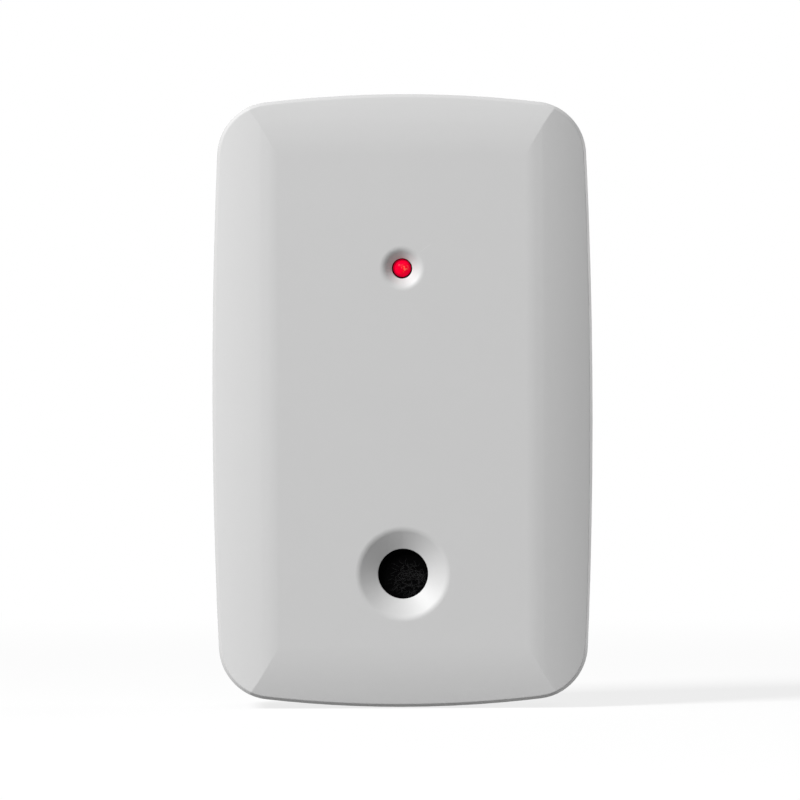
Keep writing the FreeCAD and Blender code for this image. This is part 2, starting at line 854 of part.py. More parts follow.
def tongue_wall_rise():
    """Height of the outside of the top wall at the outer side of a tongue."""
    reach = S.tongue_offset + S.tongue_width / 2
    drop = S.end_arc_radius - (S.end_arc_radius * S.end_arc_radius - reach * reach).root()
    return S.case_height / 2 - drop


def dimple(body, name, centre, depths, hole, rim, lip, slope):
    """A rounded lip and a cone down to a hole; depths are those of the cone's end and the hole's end."""
    floor, rear = depths
    margin = S.trim_margin
    profile = [
        (rear - margin, ZERO),
        (S.case_depth + margin, ZERO),
        (S.case_depth + margin, rim),
        (S.case_depth, rim),
        (S.case_depth - lip * (1 - slope.cosine()), rim - lip * slope.sine()),
        (floor, hole),
        (rear - margin, hole),
    ]
    turned(body, name, centre, profile, {3: (lip, 1)}, removing=True)


# Back plate

def make_back_plate():
    """Flange and drafted rim with posts, pegs, wall screw holes, cable entry and hook windows."""
    body = start_body("back_plate")
    flange = Drawing(body, "flange_outline", "XZ_Plane")
    case_outline(flange, S.plate_inset)
    pad(body, "flange", flange, S.plate_thickness)

    rim_outside = S.side_wall + S.rim_gap
    rim = Drawing(body, "rim_outline", "XZ_Plane", PLATE_FRONT)
    case_outline(rim, rim_outside)
    case_outline(rim, rim_outside + S.rim_thickness)
    pad(body, "rim", rim, S.rim_height, -S.rim_draft_angle)

    window = Drawing(body, "window_profile", "YZ_Plane", S.tongue_offset)
    reach = tongue_reach() + S.window_gap
    rear = COVER_REAR + S.tongue_setback - S.window_gap
    dip = (reach * reach - (rear - COVER_REAR) * (rear - COVER_REAR)).root()
    top = HINGE_RISE + S.trim_margin
    window.path([
        (-rear, HINGE_RISE - dip),
        (-rear, top),
        (-(COVER_REAR + reach), top),
        (-(COVER_REAR + reach), HINGE_RISE),
    ], {3: (reach, 1)})
    opening = cut(body, "window", window, S.tongue_width + 2 * S.window_side_gap, both_ways=True)
    mirrored(body, "windows", [opening])

    posts = Drawing(body, "posts_sketch", "XZ_Plane", ZERO)
    for centre in (PEG_LOW, PEG_HIGH, SCREW_LOW, SCREW_HIGH):
        square(posts, centre, S.post_width)
    pad(body, "posts", posts, BOARD_REAR)
    disc(body, "pegs", [PEG_LOW, PEG_HIGH], S.peg_diameter / 2, BOARD_REAR - S.peg_length,
         BOARD_FRONT + S.peg_length - S.board_thickness)
    post_ribs(body)

    entry_centre = (ZERO, S.cable_entry_rise)
    lip = Drawing(body, "cable_lip_outline", "XZ_Plane", ZERO)
    lip_width = S.cable_entry_width + 2 * S.cable_lip_width
    lip_height = S.cable_entry_height + 2 * S.cable_lip_width
    stadium(lip, entry_centre, lip_width, lip_height)
    pad(body, "cable_lip", lip, PLATE_FRONT + S.cable_lip_height)

    holes = Drawing(body, "wall_holes_sketch", "XZ_Plane", PLATE_FRONT)
    for spot in wall_hole_spots():
        holes.circle(spot, S.wall_hole_diameter / 2)
    cut(body, "wall_holes", holes)
    entry = Drawing(body, "cable_entry_outline", "XZ_Plane", PLATE_FRONT + S.cable_lip_height)
    stadium(entry, entry_centre, S.cable_entry_width, S.cable_entry_height)
    cut(body, "cable_entry", entry)
    bores = Drawing(body, "screw_bores_sketch", "XZ_Plane", BOARD_REAR)
    for centre in (SCREW_LOW, SCREW_HIGH):
        bores.circle(centre, S.screw_diameter / 2 + S.screw_bore_gap)
    cut(body, "screw_bores", bores, S.screw_length - S.board_thickness + S.screw_bore_spare)
    return keep(body)


def post_ribs(body):
    """A rib from each post out to the nearer side of the rim."""
    reach = S.case_width / 2 - RIM_INSIDE
    drawing = Drawing(body, "post_ribs_sketch", "XZ_Plane", ZERO)
    for centre, sign in ((PEG_LOW, -1), (PEG_HIGH, 1), (SCREW_LOW, 1), (SCREW_HIGH, -1)):
        inner = centre[0] + sign * S.post_width / 2 - sign * S.post_rib_thickness / 2
        outer = sign * reach
        low = centre[1] - S.post_rib_thickness / 2
        high = centre[1] + S.post_rib_thickness / 2
        left, right = (inner, outer) if sign > 0 else (outer, inner)
        drawing.rectangle((left, low), (right, high))
    pad(body, "post_ribs", drawing, PLATE_FRONT + S.rim_height - S.post_rib_gap)


def stadium(drawing, centre, width, height):
    """A slot outline with half-round ends, lying across."""
    half = width / 2 - height / 2
    low = centre[1] - height / 2
    high = centre[1] + height / 2
    radius = height / 2
    points = [(centre[0] - half, low), (centre[0] + half, low), (centre[0] + width / 2, centre[1]),
              (centre[0] + half, high), (centre[0] - half, high), (centre[0] - width / 2, centre[1])]
    bows = {1: (radius, 1), 2: (radius, 1), 4: (radius, 1), 5: (radius, 1)}
    drawing.path(points, bows)


def wall_hole_spots():
    """Centres of the four wall screw holes."""
    across = S.wall_hole_spread / 2
    up = S.wall_hole_rise / 2
    return [(sign * across, rise * up) for sign in (1, -1) for rise in (1, -1)]


def tongue_reach():
    """Distance from the hinge line to the far front corner of a tongue."""
    down = RIM_INSIDE + S.tongue_engagement
    out = S.tongue_setback + S.tongue_thickness
    return (down * down + out * out).root()


# Indicator

def make_indicator():
    """Red dome with its flange, two leads and the spacer tube that lifts it off the board."""
    body = start_body("led_lens")
    radius = S.led_diameter / 2
    dome_start = LED_FLOOR - radius
    profile = [
        (LED_BASE, ZERO),
        (LED_BASE, S.led_flange_diameter / 2),
        (LED_BASE + S.led_flange_thickness, S.led_flange_diameter / 2),
        (LED_BASE + S.led_flange_thickness, radius),
        (dome_start, radius),
        (LED_FLOOR, ZERO),
    ]
    turned(body, "dome", LED_CENTRE, profile, {4: (radius, 1)})
    keep(body)

    spacer = start_body("led_spacer")
    ring = Drawing(spacer, "spacer_sketch", "XZ_Plane", BOARD_FRONT)
    ring.circle(LED_CENTRE, S.led_spacer_diameter / 2)
    ring.circle(LED_CENTRE, S.led_spacer_bore / 2)
    pad(spacer, "spacer_tube", ring, LED_BASE - BOARD_FRONT)
    keep(spacer)

    leads = start_body("led_leads")
    drawing = Drawing(leads, "leads_sketch", "XZ_Plane", TAIL_REAR)
    for spot in lead_pair(LED_CENTRE, S.lead_pitch):
        square(drawing, spot, S.led_lead_width)
    pad(leads, "leads", drawing, LED_BASE - TAIL_REAR)
    keep(leads)


# Microphone

def make_microphone():
    """Capsule with its felt and pins, held off the board by a rubber boot."""
    can = start_body("microphone_can")
    radius = S.capsule_diameter / 2
    disc(can, "capsule", [PORT_CENTRE], radius, CAPSULE_REAR, CAPSULE_FRONT)
    keep(can)

    felt = start_body("microphone_felt")
    disc(felt, "felt", [PORT_CENTRE], S.felt_diameter / 2, CAPSULE_FRONT, FELT_FRONT)
    keep(felt)

    boot = start_body("microphone_boot")
    inner = radius + S.boot_gap
    outer = inner + S.boot_wall
    lip_front = CAPSULE_FRONT - S.boot_lip
    profile = [
        (BOARD_FRONT, ZERO),
        (BOARD_FRONT, outer),
        (lip_front, outer),
        (lip_front, inner),
        (CAPSULE_REAR, inner),
        (CAPSULE_REAR, ZERO),
    ]
    turned(boot, "sleeve", PORT_CENTRE, profile)
    passes = Drawing(boot, "pin_passes", "XZ_Plane", CAPSULE_REAR)
    for spot in lead_pair(PORT_CENTRE, S.lead_pitch):
        square(passes, spot, S.microphone_pin_width + 2 * S.lead_gap)
    cut(boot, "pin_holes", passes)
    keep(boot)

    pins = start_body("microphone_pins")
    drawing = Drawing(pins, "pins_sketch", "XZ_Plane", TAIL_REAR)
    for spot in lead_pair(PORT_CENTRE, S.lead_pitch):
        square(drawing, spot, S.microphone_pin_width)
    pad(pins, "pins", drawing, CAPSULE_REAR - TAIL_REAR)
    keep(pins)


# Tamper switch

def switch_pin_spots():
    """Centres of the four board pins of the tamper switch."""
    across = S.switch_pin_spread / 2
    return [(SWITCH_CENTRE[0] + sign * across, SWITCH_CENTRE[1] + rise * across)
            for sign in (1, -1) for rise in (1, -1)]


def make_tamper_switch():
    """Switch housing with its metal top, a sprung plunger, the spring and four pins."""
    housing = start_body("tamper_switch_body")
    low, high = centred(SWITCH_CENTRE, S.switch_width, S.switch_width)
    block(housing, "housing", low, high, BOARD_FRONT, SWITCH_TOP)
    bore = Drawing(housing, "plunger_bore_sketch", "XZ_Plane", SWITCH_TOP)
    bore.circle(SWITCH_CENTRE, S.switch_bore / 2)
    cut(housing, "plunger_bore", bore, S.switch_height - S.switch_floor)
    keep(housing)

    plate = start_body("tamper_switch_plate")
    top = Drawing(plate, "plate_sketch", "XZ_Plane", SWITCH_TOP)
    top.rectangle(low, high)
    top.circle(SWITCH_CENTRE, S.plunger_diameter / 2 + S.plunger_gap)
    pad(plate, "plate", top, S.switch_plate_thickness)
    keep(plate)

    plunger = start_body("tamper_plunger")
    disc(plunger, "plunger_flange", [SWITCH_CENTRE], S.plunger_flange_diameter / 2,
         PLUNGER_FLANGE_REAR, PLUNGER_FLANGE_FRONT)
    disc(plunger, "plunger_stem", [SWITCH_CENTRE], S.plunger_diameter / 2,
         PLUNGER_FLANGE_REAR, PLUNGER_FRONT)
    keep(plunger)

    spring = start_body("tamper_spring")
    wire = S.spring_wire / 2
    rear = BOARD_FRONT + S.switch_floor
    drawing = Drawing(spring, "wire_sketch", "YZ_Plane", SWITCH_CENTRE[0])
    drawing.axis((-rear, SWITCH_CENTRE[1]), (-PLUNGER_FLANGE_REAR, SWITCH_CENTRE[1]))
    mean = S.spring_diameter / 2 - wire
    square(drawing, (-(rear + wire), SWITCH_CENTRE[1] + mean), S.spring_wire)
    coil = spring.newObject("PartDesign::AdditiveHelix", "coil")
    coil.Profile = drawing.sketch
    coil.ReferenceAxis = (drawing.sketch, [AXIS_REST])
    coil.Mode = "height-turns-angle"
    coil.Angle = 0
    coil.setExpression("Height", (PLUNGER_FLANGE_REAR - rear - S.spring_wire).text)
    coil.setExpression("Turns", S.spring_turns.text)
    spring.Tip = coil
    keep(spring)

    pins = start_body("tamper_switch_pins")
    drawing = Drawing(pins, "pins_sketch", "XZ_Plane", TAIL_REAR)
    for spot in switch_pin_spots():
        square(drawing, spot, S.switch_pin_width)
    pad(pins, "pins", drawing, BOARD_FRONT - TAIL_REAR)
    keep(pins)


# Wiring terminals

TERMINAL_COUNT = 6


def terminal_first():
    """Centre of the first terminal in the row."""
    return (-S.terminal_pitch * (TERMINAL_COUNT - 1) / 2, S.terminal_rise)


def terminal_spots():
    """Centres of all terminals."""
    first = terminal_first()
    return [(first[0] + S.terminal_pitch * index, first[1]) for index in range(TERMINAL_COUNT)]


def make_terminals():
    """Terminal housing with a well and a wire mouth for each screw, clamp and board pin."""
    first = terminal_first()
    count = Size.of(TERMINAL_COUNT)
    top = BOARD_FRONT + S.terminal_height
    rear_side = S.terminal_rise - S.terminal_depth / 2
    mouth_side = S.terminal_rise + S.terminal_depth / 2

    housing = start_body("terminal_block")
    profile = Drawing(housing, "housing_profile", "YZ_Plane")
    profile.path([
        (-BOARD_FRONT, rear_side),
        (-BOARD_FRONT, mouth_side),
        (-(top - S.terminal_shoulder), mouth_side),
        (-top, mouth_side - S.terminal_shoulder / 2),
        (-top, rear_side + S.terminal_shoulder / 4),
        (-(top - S.terminal_shoulder / 2), rear_side),
    ])
    length = S.terminal_pitch * TERMINAL_COUNT + 2 * S.terminal_ends
    pad(housing, "housing", profile, length, both_ways=True)
    wells = Drawing(housing, "well_sketch", "XZ_Plane", top)
    square(wells, first, S.terminal_well)
    well = cut(housing, "well", wells, S.terminal_well_depth)
    mouth_low = BOARD_FRONT + S.terminal_mouth_rise
    mouths = Drawing(housing, "mouth_sketch", "XY_Plane", mouth_side)
    mouths.rectangle(
        (first[0] - S.terminal_mouth_width / 2, -(mouth_low + S.terminal_mouth_height)),
        (first[0] + S.terminal_mouth_width / 2, -mouth_low))
    mouth = cut(housing, "mouth", mouths, S.terminal_mouth_depth)
    repeated(housing, "wells_and_mouths", [well, mouth], "X_Axis", S.terminal_pitch, count)
    keep(housing)

    screws = start_body("terminal_screws")
    head_front = top - S.terminal_screw_sink
    head_rear = head_front - S.terminal_screw_height
    head = disc(screws, "head", [first], S.terminal_screw_diameter / 2, head_rear, head_front)
    slot = Drawing(screws, "slot_sketch", "XZ_Plane", head_front)
    slot.rectangle(*centred(first, S.terminal_screw_diameter * 2, S.terminal_screw_slot))
    groove = cut(screws, "slot", slot, S.terminal_screw_height / 2)
    repeated(screws, "screws", [head, groove], "X_Axis", S.terminal_pitch, count)
    keep(screws)

    clamps = start_body("terminal_clamps")
    fit = S.terminal_fit
    cage = Drawing(clamps, "cage_sketch", "XY_Plane", mouth_side - S.terminal_mouth_depth + fit)
    outer_low = (first[0] - S.terminal_mouth_width / 2 + fit, -(mouth_low + S.terminal_mouth_height - fit))
    outer_high = (first[0] + S.terminal_mouth_width / 2 - fit, -(mouth_low + fit))
    cage.rectangle(outer_low, outer_high)
    cage.rectangle((outer_low[0] + S.clamp_wall, outer_low[1] + S.clamp_wall),
                   (outer_high[0] - S.clamp_wall, outer_high[1] - S.clamp_wall))
    frame = pad(clamps, "cage", cage, S.clamp_length)
    repeated(clamps, "cages", [frame], "X_Axis", S.terminal_pitch, count)
    keep(clamps)

    pins = start_body("terminal_pins")
    drawing = Drawing(pins, "pin_sketch", "XZ_Plane", TAIL_REAR)
    square(drawing, first, S.terminal_pin_width)
    pin = pad(pins, "pin", drawing, BOARD_FRONT - TAIL_REAR)
    repeated(pins, "pins", [pin], "X_Axis", S.terminal_pitch, count)
    keep(pins)


# Alarm relay

RELAY_CENTRE = (from_left(S.relay_side_gap), S.relay_rise)
RELAY_PIN_ROWS = 3


def relay_pin_spots():
    """Centres of the relay's pins, two rows along its length."""
    across = S.relay_pin_row / 2
    middle = (RELAY_PIN_ROWS - 1) / 2
    return [(RELAY_CENTRE[0] + sign * across, RELAY_CENTRE[1] + (index - middle) * S.relay_pin_pitch)
            for sign in (1, -1) for index in range(RELAY_PIN_ROWS)]


def is_relay_top_edge(shape, edge):
    """True for the front and upright edges of the relay case."""
    return edge.BoundBox.YMin < -BOARD_FRONT.number - TOUCHING


def make_relay():
    """Sealed relay case with chamfered edges and its pins."""
    case = start_body("alarm_relay")
    low, high = centred(RELAY_CENTRE, S.relay_width, S.relay_length)
    block(case, "case", low, high, BOARD_FRONT, BOARD_FRONT + S.relay_height)
    chamfered(case, "case_edges", S.relay_chamfer, is_relay_top_edge)
    keep(case)
    pins = start_body("relay_pins")
    drawing = Drawing(pins, "pins_sketch", "XZ_Plane", TAIL_REAR)
    for spot in relay_pin_spots():
        square(drawing, spot, S.relay_pin_width)
    pad(pins, "pins", drawing, BOARD_FRONT - TAIL_REAR)
    keep(pins)


# Capacitors

LARGE_CAPACITOR = (from_right(S.large_capacitor_side_gap), S.large_capacitor_rise)
SMALL_CAPACITORS = (
    (from_right(S.small_capacitor_side_gap), S.small_capacitor_rise),
    (from_left(S.small_capacitor_side_gap), -S.small_capacitor_rise),
)


def capacitor(body, name, centre, diameter, length):
    """Can with a chamfered top edge."""
    radius = diameter / 2
    edge = S.capacitor_chamfer
    top = BOARD_FRONT + length
    profile = [
        (BOARD_FRONT, ZERO),
        (BOARD_FRONT, radius),
        (top - edge, radius),
        (top, radius - edge),
        (top, ZERO),
    ]
    turned(body, name, centre, profile)


def capacitor_lead_spots():
    """Centres of every capacitor lead."""
    spots = lead_pair(LARGE_CAPACITOR, S.large_capacitor_lead_pitch)
    for centre in SMALL_CAPACITORS:
        spots += lead_pair(centre, S.small_capacitor_lead_pitch)
    return spots


def make_capacitors():
    """One large and two small cans, and their leads."""
    large = start_body("large_capacitor")
    capacitor(large, "can", LARGE_CAPACITOR, S.large_capacitor_diameter, S.large_capacitor_length)
    keep(large)
    small = start_body("small_capacitors")
    for index, centre in enumerate(SMALL_CAPACITORS, start=1):
        capacitor(small, "can_%d" % index, centre, S.small_capacitor_diameter, S.small_capacitor_length)
    keep(small)
    leads = start_body("capacitor_leads")
    drawing = Drawing(leads, "leads_sketch", "XZ_Plane", TAIL_REAR)
    for spot in capacitor_lead_spots():
        square(drawing, spot, S.capacitor_lead_width)
    pad(leads, "leads", drawing, BOARD_FRONT - TAIL_REAR)
    keep(leads)


# Chips

def chip(name, centre, length, width, height, lead_count):
    """Moulded chip body, and bent leads along both long sides."""
    rear = BOARD_FRONT + S.chip_stand
    body = start_body(name + "_chip")
    low, high = centred(centre, length, width)
    block(body, "moulding", low, high, rear, rear + height)
    keep(body)

    leads = start_body(name + "_leads")
    thickness = S.chip_lead_thickness
    exit_rear = rear + height / 2 - thickness / 2
    foot_end = width / 2 + S.chip_lead_reach
    bend = foot_end - S.chip_lead_foot
    start = centre[0] - S.chip_lead_pitch * (lead_count - 1) / 2
    rows = []
    for side, sign in (("upper", 1), ("lower", -1)):
        shape = Drawing(leads, side + "_profile", "YZ_Plane", start)
        up = centre[1]
        shape.path([
            (-exit_rear, up + sign * (width / 2)),
            (-(exit_rear + thickness), up + sign * (width / 2)),
            (-(BOARD_FRONT + thickness), up + sign * bend),
            (-(BOARD_FRONT + thickness), up + sign * foot_end),
            (-BOARD_FRONT, up + sign * foot_end),
            (-BOARD_FRONT, up + sign * (bend - thickness)),
        ])
        rows.append(pad(leads, side + "_lead", shape, S.chip_lead_width, both_ways=True))
    repeated(leads, "lead_rows", rows, "X_Axis", S.chip_lead_pitch, lead_count)
    keep(leads)


def make_chips():
    """Controller and amplifier."""
    controller = (S.controller_offset, S.controller_rise)
    chip("controller", controller, S.controller_length, S.controller_width, S.controller_height,
         S.controller_lead_count)
    amplifier = (from_left(S.amplifier_side_gap), -S.amplifier_drop)
    chip("amplifier", amplifier, S.amplifier_length, S.amplifier_width, S.amplifier_height,
         S.amplifier_lead_count)


# Crystal

CRYSTAL_CENTRE = (from_left(S.crystal_side_gap), -S.crystal_drop)


def crystal_pin_spots():
    """Centres of the crystal's two pins, one above the other."""
    half = S.crystal_pin_pitch / 2
    return [(CRYSTAL_CENTRE[0], CRYSTAL_CENTRE[1] + half), (CRYSTAL_CENTRE[0], CRYSTAL_CENTRE[1] - half)]


def upright_stadium(drawing, centre, width, height):
    """A slot outline with half-round ends, standing."""
    half = height / 2 - width / 2
    left = centre[0] - width / 2
    right = centre[0] + width / 2
    radius = width / 2
    points = [(right, centre[1] - half), (right, centre[1] + half), (centre[0], centre[1] + height / 2),
              (left, centre[1] + half), (left, centre[1] - half), (centre[0], centre[1] - height / 2)]
    bows = {1: (radius, 1), 2: (radius, 1), 4: (radius, 1), 5: (radius, 1)}
    drawing.path(points, bows)


def make_crystal():
    """Metal can on a wider base, with two pins."""
    can = start_body("crystal_can")
    flange = S.crystal_flange
    base = Drawing(can, "base_outline", "XZ_Plane", BOARD_FRONT)
    upright_stadium(base, CRYSTAL_CENTRE, S.crystal_width, S.crystal_length)
    pad(can, "base", base, S.crystal_base)
    top = Drawing(can, "can_outline", "XZ_Plane", BOARD_FRONT)
    upright_stadium(top, CRYSTAL_CENTRE, S.crystal_width - 2 * flange, S.crystal_length - 2 * flange)
    pad(can, "can", top, S.crystal_height)
    keep(can)
    pins = start_body("crystal_pins")
    drawing = Drawing(pins, "pins_sketch", "XZ_Plane", TAIL_REAR)
    for spot in crystal_pin_spots():
        square(drawing, spot, S.crystal_pin_width)
    pad(pins, "pins", drawing, BOARD_FRONT - TAIL_REAR)
    keep(pins)


# Jumpers

JUMPER_CENTRE = (S.jumper_offset, -S.jumper_drop)


def jumper_pin_spots():
    """Centres of the header's pins, two rows high and as many columns as stated."""
    columns = SIZES["jumper_columns"]
    middle = (columns - 1) / 2
    half = S.lead_pitch / 2
    return [(JUMPER_CENTRE[0] + (index - middle) * S.lead_pitch, JUMPER_CENTRE[1] + sign * half)
            for index in range(columns) for sign in (-1, 1)]


def make_jumpers():
    """Two-row pin header and the two caps that bridge its outer columns."""
    spots = jumper_pin_spots()
    header = start_body("jumper_header")
    base = Drawing(header, "base_sketch", "XZ_Plane", BOARD_FRONT)
    low, high = centred(JUMPER_CENTRE, S.lead_pitch * S.jumper_columns, S.lead_pitch * 2)
    base.rectangle(low, high)
    pad(header, "base", base, S.jumper_base_height)
    passes = Drawing(header, "pass_sketch", "XZ_Plane", BOARD_FRONT + S.jumper_base_height)
    for spot in spots:
        square(passes, spot, S.jumper_pin_width + 2 * S.jumper_cap_gap)
    cut(header, "passes", passes)
    keep(header)

    tip = BOARD_FRONT + S.jumper_base_height + S.jumper_pin_length
    pins = start_body("jumper_pins")
    rods = Drawing(pins, "pins_sketch", "XZ_Plane", TAIL_REAR)
    for spot in spots:
        square(rods, spot, S.jumper_pin_width)
    pad(pins, "pins", rods, tip - TAIL_REAR)
    keep(pins)

    caps = start_body("jumper_caps")
    rear = BOARD_FRONT + S.jumper_base_height + S.jumper_cap_stand
    columns = [spots[0:2], spots[-2:]]
    shells = Drawing(caps, "caps_sketch", "XZ_Plane", rear)
    for column in columns:
        middle = (column[0][0], JUMPER_CENTRE[1])
        shells.rectangle(*centred(middle, S.lead_pitch - S.jumper_cap_gap, S.lead_pitch * 2 - S.jumper_cap_gap))
    pad(caps, "caps", shells, S.jumper_cap_height)
    bores = Drawing(caps, "bores_sketch", "XZ_Plane", rear + S.jumper_cap_height)
    for column in columns:
        for spot in column:
            square(bores, spot, S.jumper_pin_width + 2 * S.jumper_cap_gap)
    cut(caps, "bores", bores)
    keep(caps)


# Small surface parts

def row_of_chips(name, start, length, width, height, pitch, count):
    """A row of small blocks that stand upright side by side on the board."""
    body = start_body(name)
    low, high = centred(start, width, length)
    first = block(body, "first", low, high, BOARD_FRONT, BOARD_FRONT + height)
    repeated(body, "row", [first], "X_Axis", pitch, count)
    keep(body)


def make_small_parts():
    """Chip resistors and capacitors, transistors, the voltage regulator and the surge diodes."""
    row_of_chips("chip_resistors", (-S.resistor_start, -S.resistor_drop), S.resistor_length,
                 S.resistor_width, S.resistor_height, S.resistor_pitch, S.resistor_count)
    row_of_chips("chip_capacitors", (from_left(S.chip_capacitor_side_gap), -S.chip_capacitor_drop),
                 S.chip_capacitor_length, S.chip_capacitor_width, S.chip_capacitor_height,
                 S.chip_capacitor_pitch, S.chip_capacitor_count)

    rear = BOARD_FRONT + S.chip_stand
    centre = (from_left(S.transistor_side_gap), -S.transistor_drop)
    bodies = start_body("transistors")
    low, high = centred(centre, S.transistor_length, S.transistor_width)
    first = block(bodies, "first", low, high, rear, rear + S.transistor_height)
    down = -S.transistor_pitch
    second_low = (low[0], low[1] + down)
    second_high = (high[0], high[1] + down)
    block(bodies, "second", second_low, second_high, rear, rear + S.transistor_height)
    keep(bodies)
    leads = start_body("transistor_leads")
    feet = Drawing(leads, "feet_sketch", "XZ_Plane", BOARD_FRONT)
    side = S.transistor_length / 2 - S.chip_lead_width
    for shift in (ZERO, down):
        for across, sign in ((side, -1), (-side, -1), (ZERO, 1)):
            middle = centre[1] + shift + sign * (S.transistor_width / 2 + S.transistor_reach / 2)
            feet.rectangle(*centred((centre[0] + across, middle), S.chip_lead_width, S.transistor_reach))
    pad(leads, "feet", feet, S.chip_stand + S.transistor_height / 2)
    keep(leads)

    spot = (from_right(S.regulator_side_gap), -S.regulator_drop)
    regulator = start_body("voltage_regulator")
    low, high = centred(spot, S.regulator_length, S.regulator_width)
    block(regulator, "case", low, high, BOARD_FRONT, BOARD_FRONT + S.regulator_height)
    keep(regulator)
    tab = start_body("regulator_tab")
    tab_low = (spot[0] - S.regulator_length / 4, spot[1] + S.regulator_width / 2)
    tab_high = (spot[0] + S.regulator_length / 4, spot[1] + S.regulator_width / 2 + S.regulator_tab)
    block(tab, "tab", tab_low, tab_high, BOARD_FRONT, BOARD_FRONT + S.chip_lead_thickness * 2)
    for across in (-S.regulator_length / 3, ZERO, S.regulator_length / 3):
        foot = (spot[0] + across, spot[1] - S.regulator_width / 2 - S.regulator_tab / 2)
        foot_low, foot_high = centred(foot, S.chip_lead_width, S.regulator_tab)
        block(tab, "foot", foot_low, foot_high, BOARD_FRONT, BOARD_FRONT + S.chip_lead_thickness * 2)
    keep(tab)

    diodes = start_body("surge_diodes")
    low, high = centred((S.diode_offset, S.diode_rise), S.diode_length, S.diode_width)
    block(diodes, "first", low, high, BOARD_FRONT, BOARD_FRONT + S.diode_height)
    block(diodes, "second", (low[0], low[1] - S.diode_pitch), (high[0], high[1] - S.diode_pitch),
          BOARD_FRONT, BOARD_FRONT + S.diode_height)
    keep(diodes)


# Circuit board and its screws

def make_circuit_board():
    """Board with clipped corners, drilled for screws, pegs and every lead."""
    body = start_body("circuit_board")
    half = BOARD_HALF
    low = BOARD_LOW
    high = BOARD_HIGH
    clip = S.board_corner
    outline = Drawing(body, "outline", "XZ_Plane", BOARD_REAR)
    outline.path([
        (-half + clip, low), (half - clip, low), (half, low + clip), (half, high - clip),
        (half - clip, high), (-half + clip, high), (-half, high - clip), (-half, low + clip),
    ])
    pad(body, "board", outline, S.board_thickness)
    fixings = Drawing(body, "fixing_holes_sketch", "XZ_Plane", BOARD_FRONT)
    for spot in (SCREW_LOW, SCREW_HIGH):
        fixings.circle(spot, S.screw_diameter / 2 + S.screw_pass_gap)
    for spot in (PEG_LOW, PEG_HIGH):
        fixings.circle(spot, S.peg_diameter / 2 + S.peg_gap)
    cut(body, "fixing_holes", fixings)
    passes = {
        "indicator": (lead_pair(LED_CENTRE, S.lead_pitch), S.led_lead_width),
        "microphone": (lead_pair(PORT_CENTRE, S.lead_pitch), S.microphone_pin_width),
        "switch": (switch_pin_spots(), S.switch_pin_width),
        "terminal": (terminal_spots(), S.terminal_pin_width),
        "relay": (relay_pin_spots(), S.relay_pin_width),
        "capacitor": (capacitor_lead_spots(), S.capacitor_lead_width),
        "crystal": (crystal_pin_spots(), S.crystal_pin_width),
        "jumper": (jumper_pin_spots(), S.jumper_pin_width),
    }
    for name, (spots, width) in passes.items():
        holes = Drawing(body, name + "_holes_sketch", "XZ_Plane", BOARD_FRONT)
        for spot in spots:
            square(holes, spot, width + 2 * S.lead_gap)
        cut(body, name + "_holes", holes)
    keep(body)

    screws = start_body("board_screws")
    slots = Drawing(screws, "slots_sketch", "XZ_Plane", BOARD_FRONT + S.screw_head_height)
    edge = S.screw_head_height / 3
    for index, centre in enumerate((SCREW_LOW, SCREW_HIGH), start=1):
        head_radius = S.screw_head_diameter / 2
        profile = [
            (BOARD_FRONT - S.screw_length, ZERO),
            (BOARD_FRONT - S.screw_length, S.screw_diameter / 2),
            (BOARD_FRONT, S.screw_diameter / 2),
            (BOARD_FRONT, head_radius),
            (BOARD_FRONT + S.screw_head_height - edge, head_radius),
            (BOARD_FRONT + S.screw_head_height, head_radius - edge),
            (BOARD_FRONT + S.screw_head_height, ZERO),
        ]
        turned(screws, "screw_%d" % index, centre, profile)
        slots.rectangle(*centred(centre, S.screw_head_diameter * 2, S.screw_slot_width))
    cut(screws, "slots", slots, S.screw_slot_depth)
    keep(screws)


def check_and_write():
    """Stop on any failed object or bad shape, then write every node."""
    DOC.recompute()
    failed = [item.Name for item in DOC.Objects if "Invalid" in item.State or "Error" in item.State]
    if failed:
        raise ValueError("failed objects: %s" % ", ".join(failed))
    for node in NODES:
        if node.Shape.isNull() or not node.Shape.isValid():
            raise ValueError("bad shape: %s" % node.Label)
    os.makedirs("parts", exist_ok=True)
    for node in NODES:
        node.Shape.exportStep("parts/%s.step" % node.Label)


def main():
    """Build every piece."""
    make_front_cover()
    make_back_plate()
    make_circuit_board()
    make_indicator()
    make_microphone()
    make_tamper_switch()
    make_terminals()
    make_relay()
    make_capacitors()
    make_chips()
    make_crystal()
    make_jumpers()
    make_small_parts()
    check_and_write()


main()
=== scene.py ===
import logging
import math
import random
from dataclasses import dataclass
from enum import Enum
from typing import Mapping, Sequence, Union

import bmesh
import bpy
from mathutils import Matrix, Vector


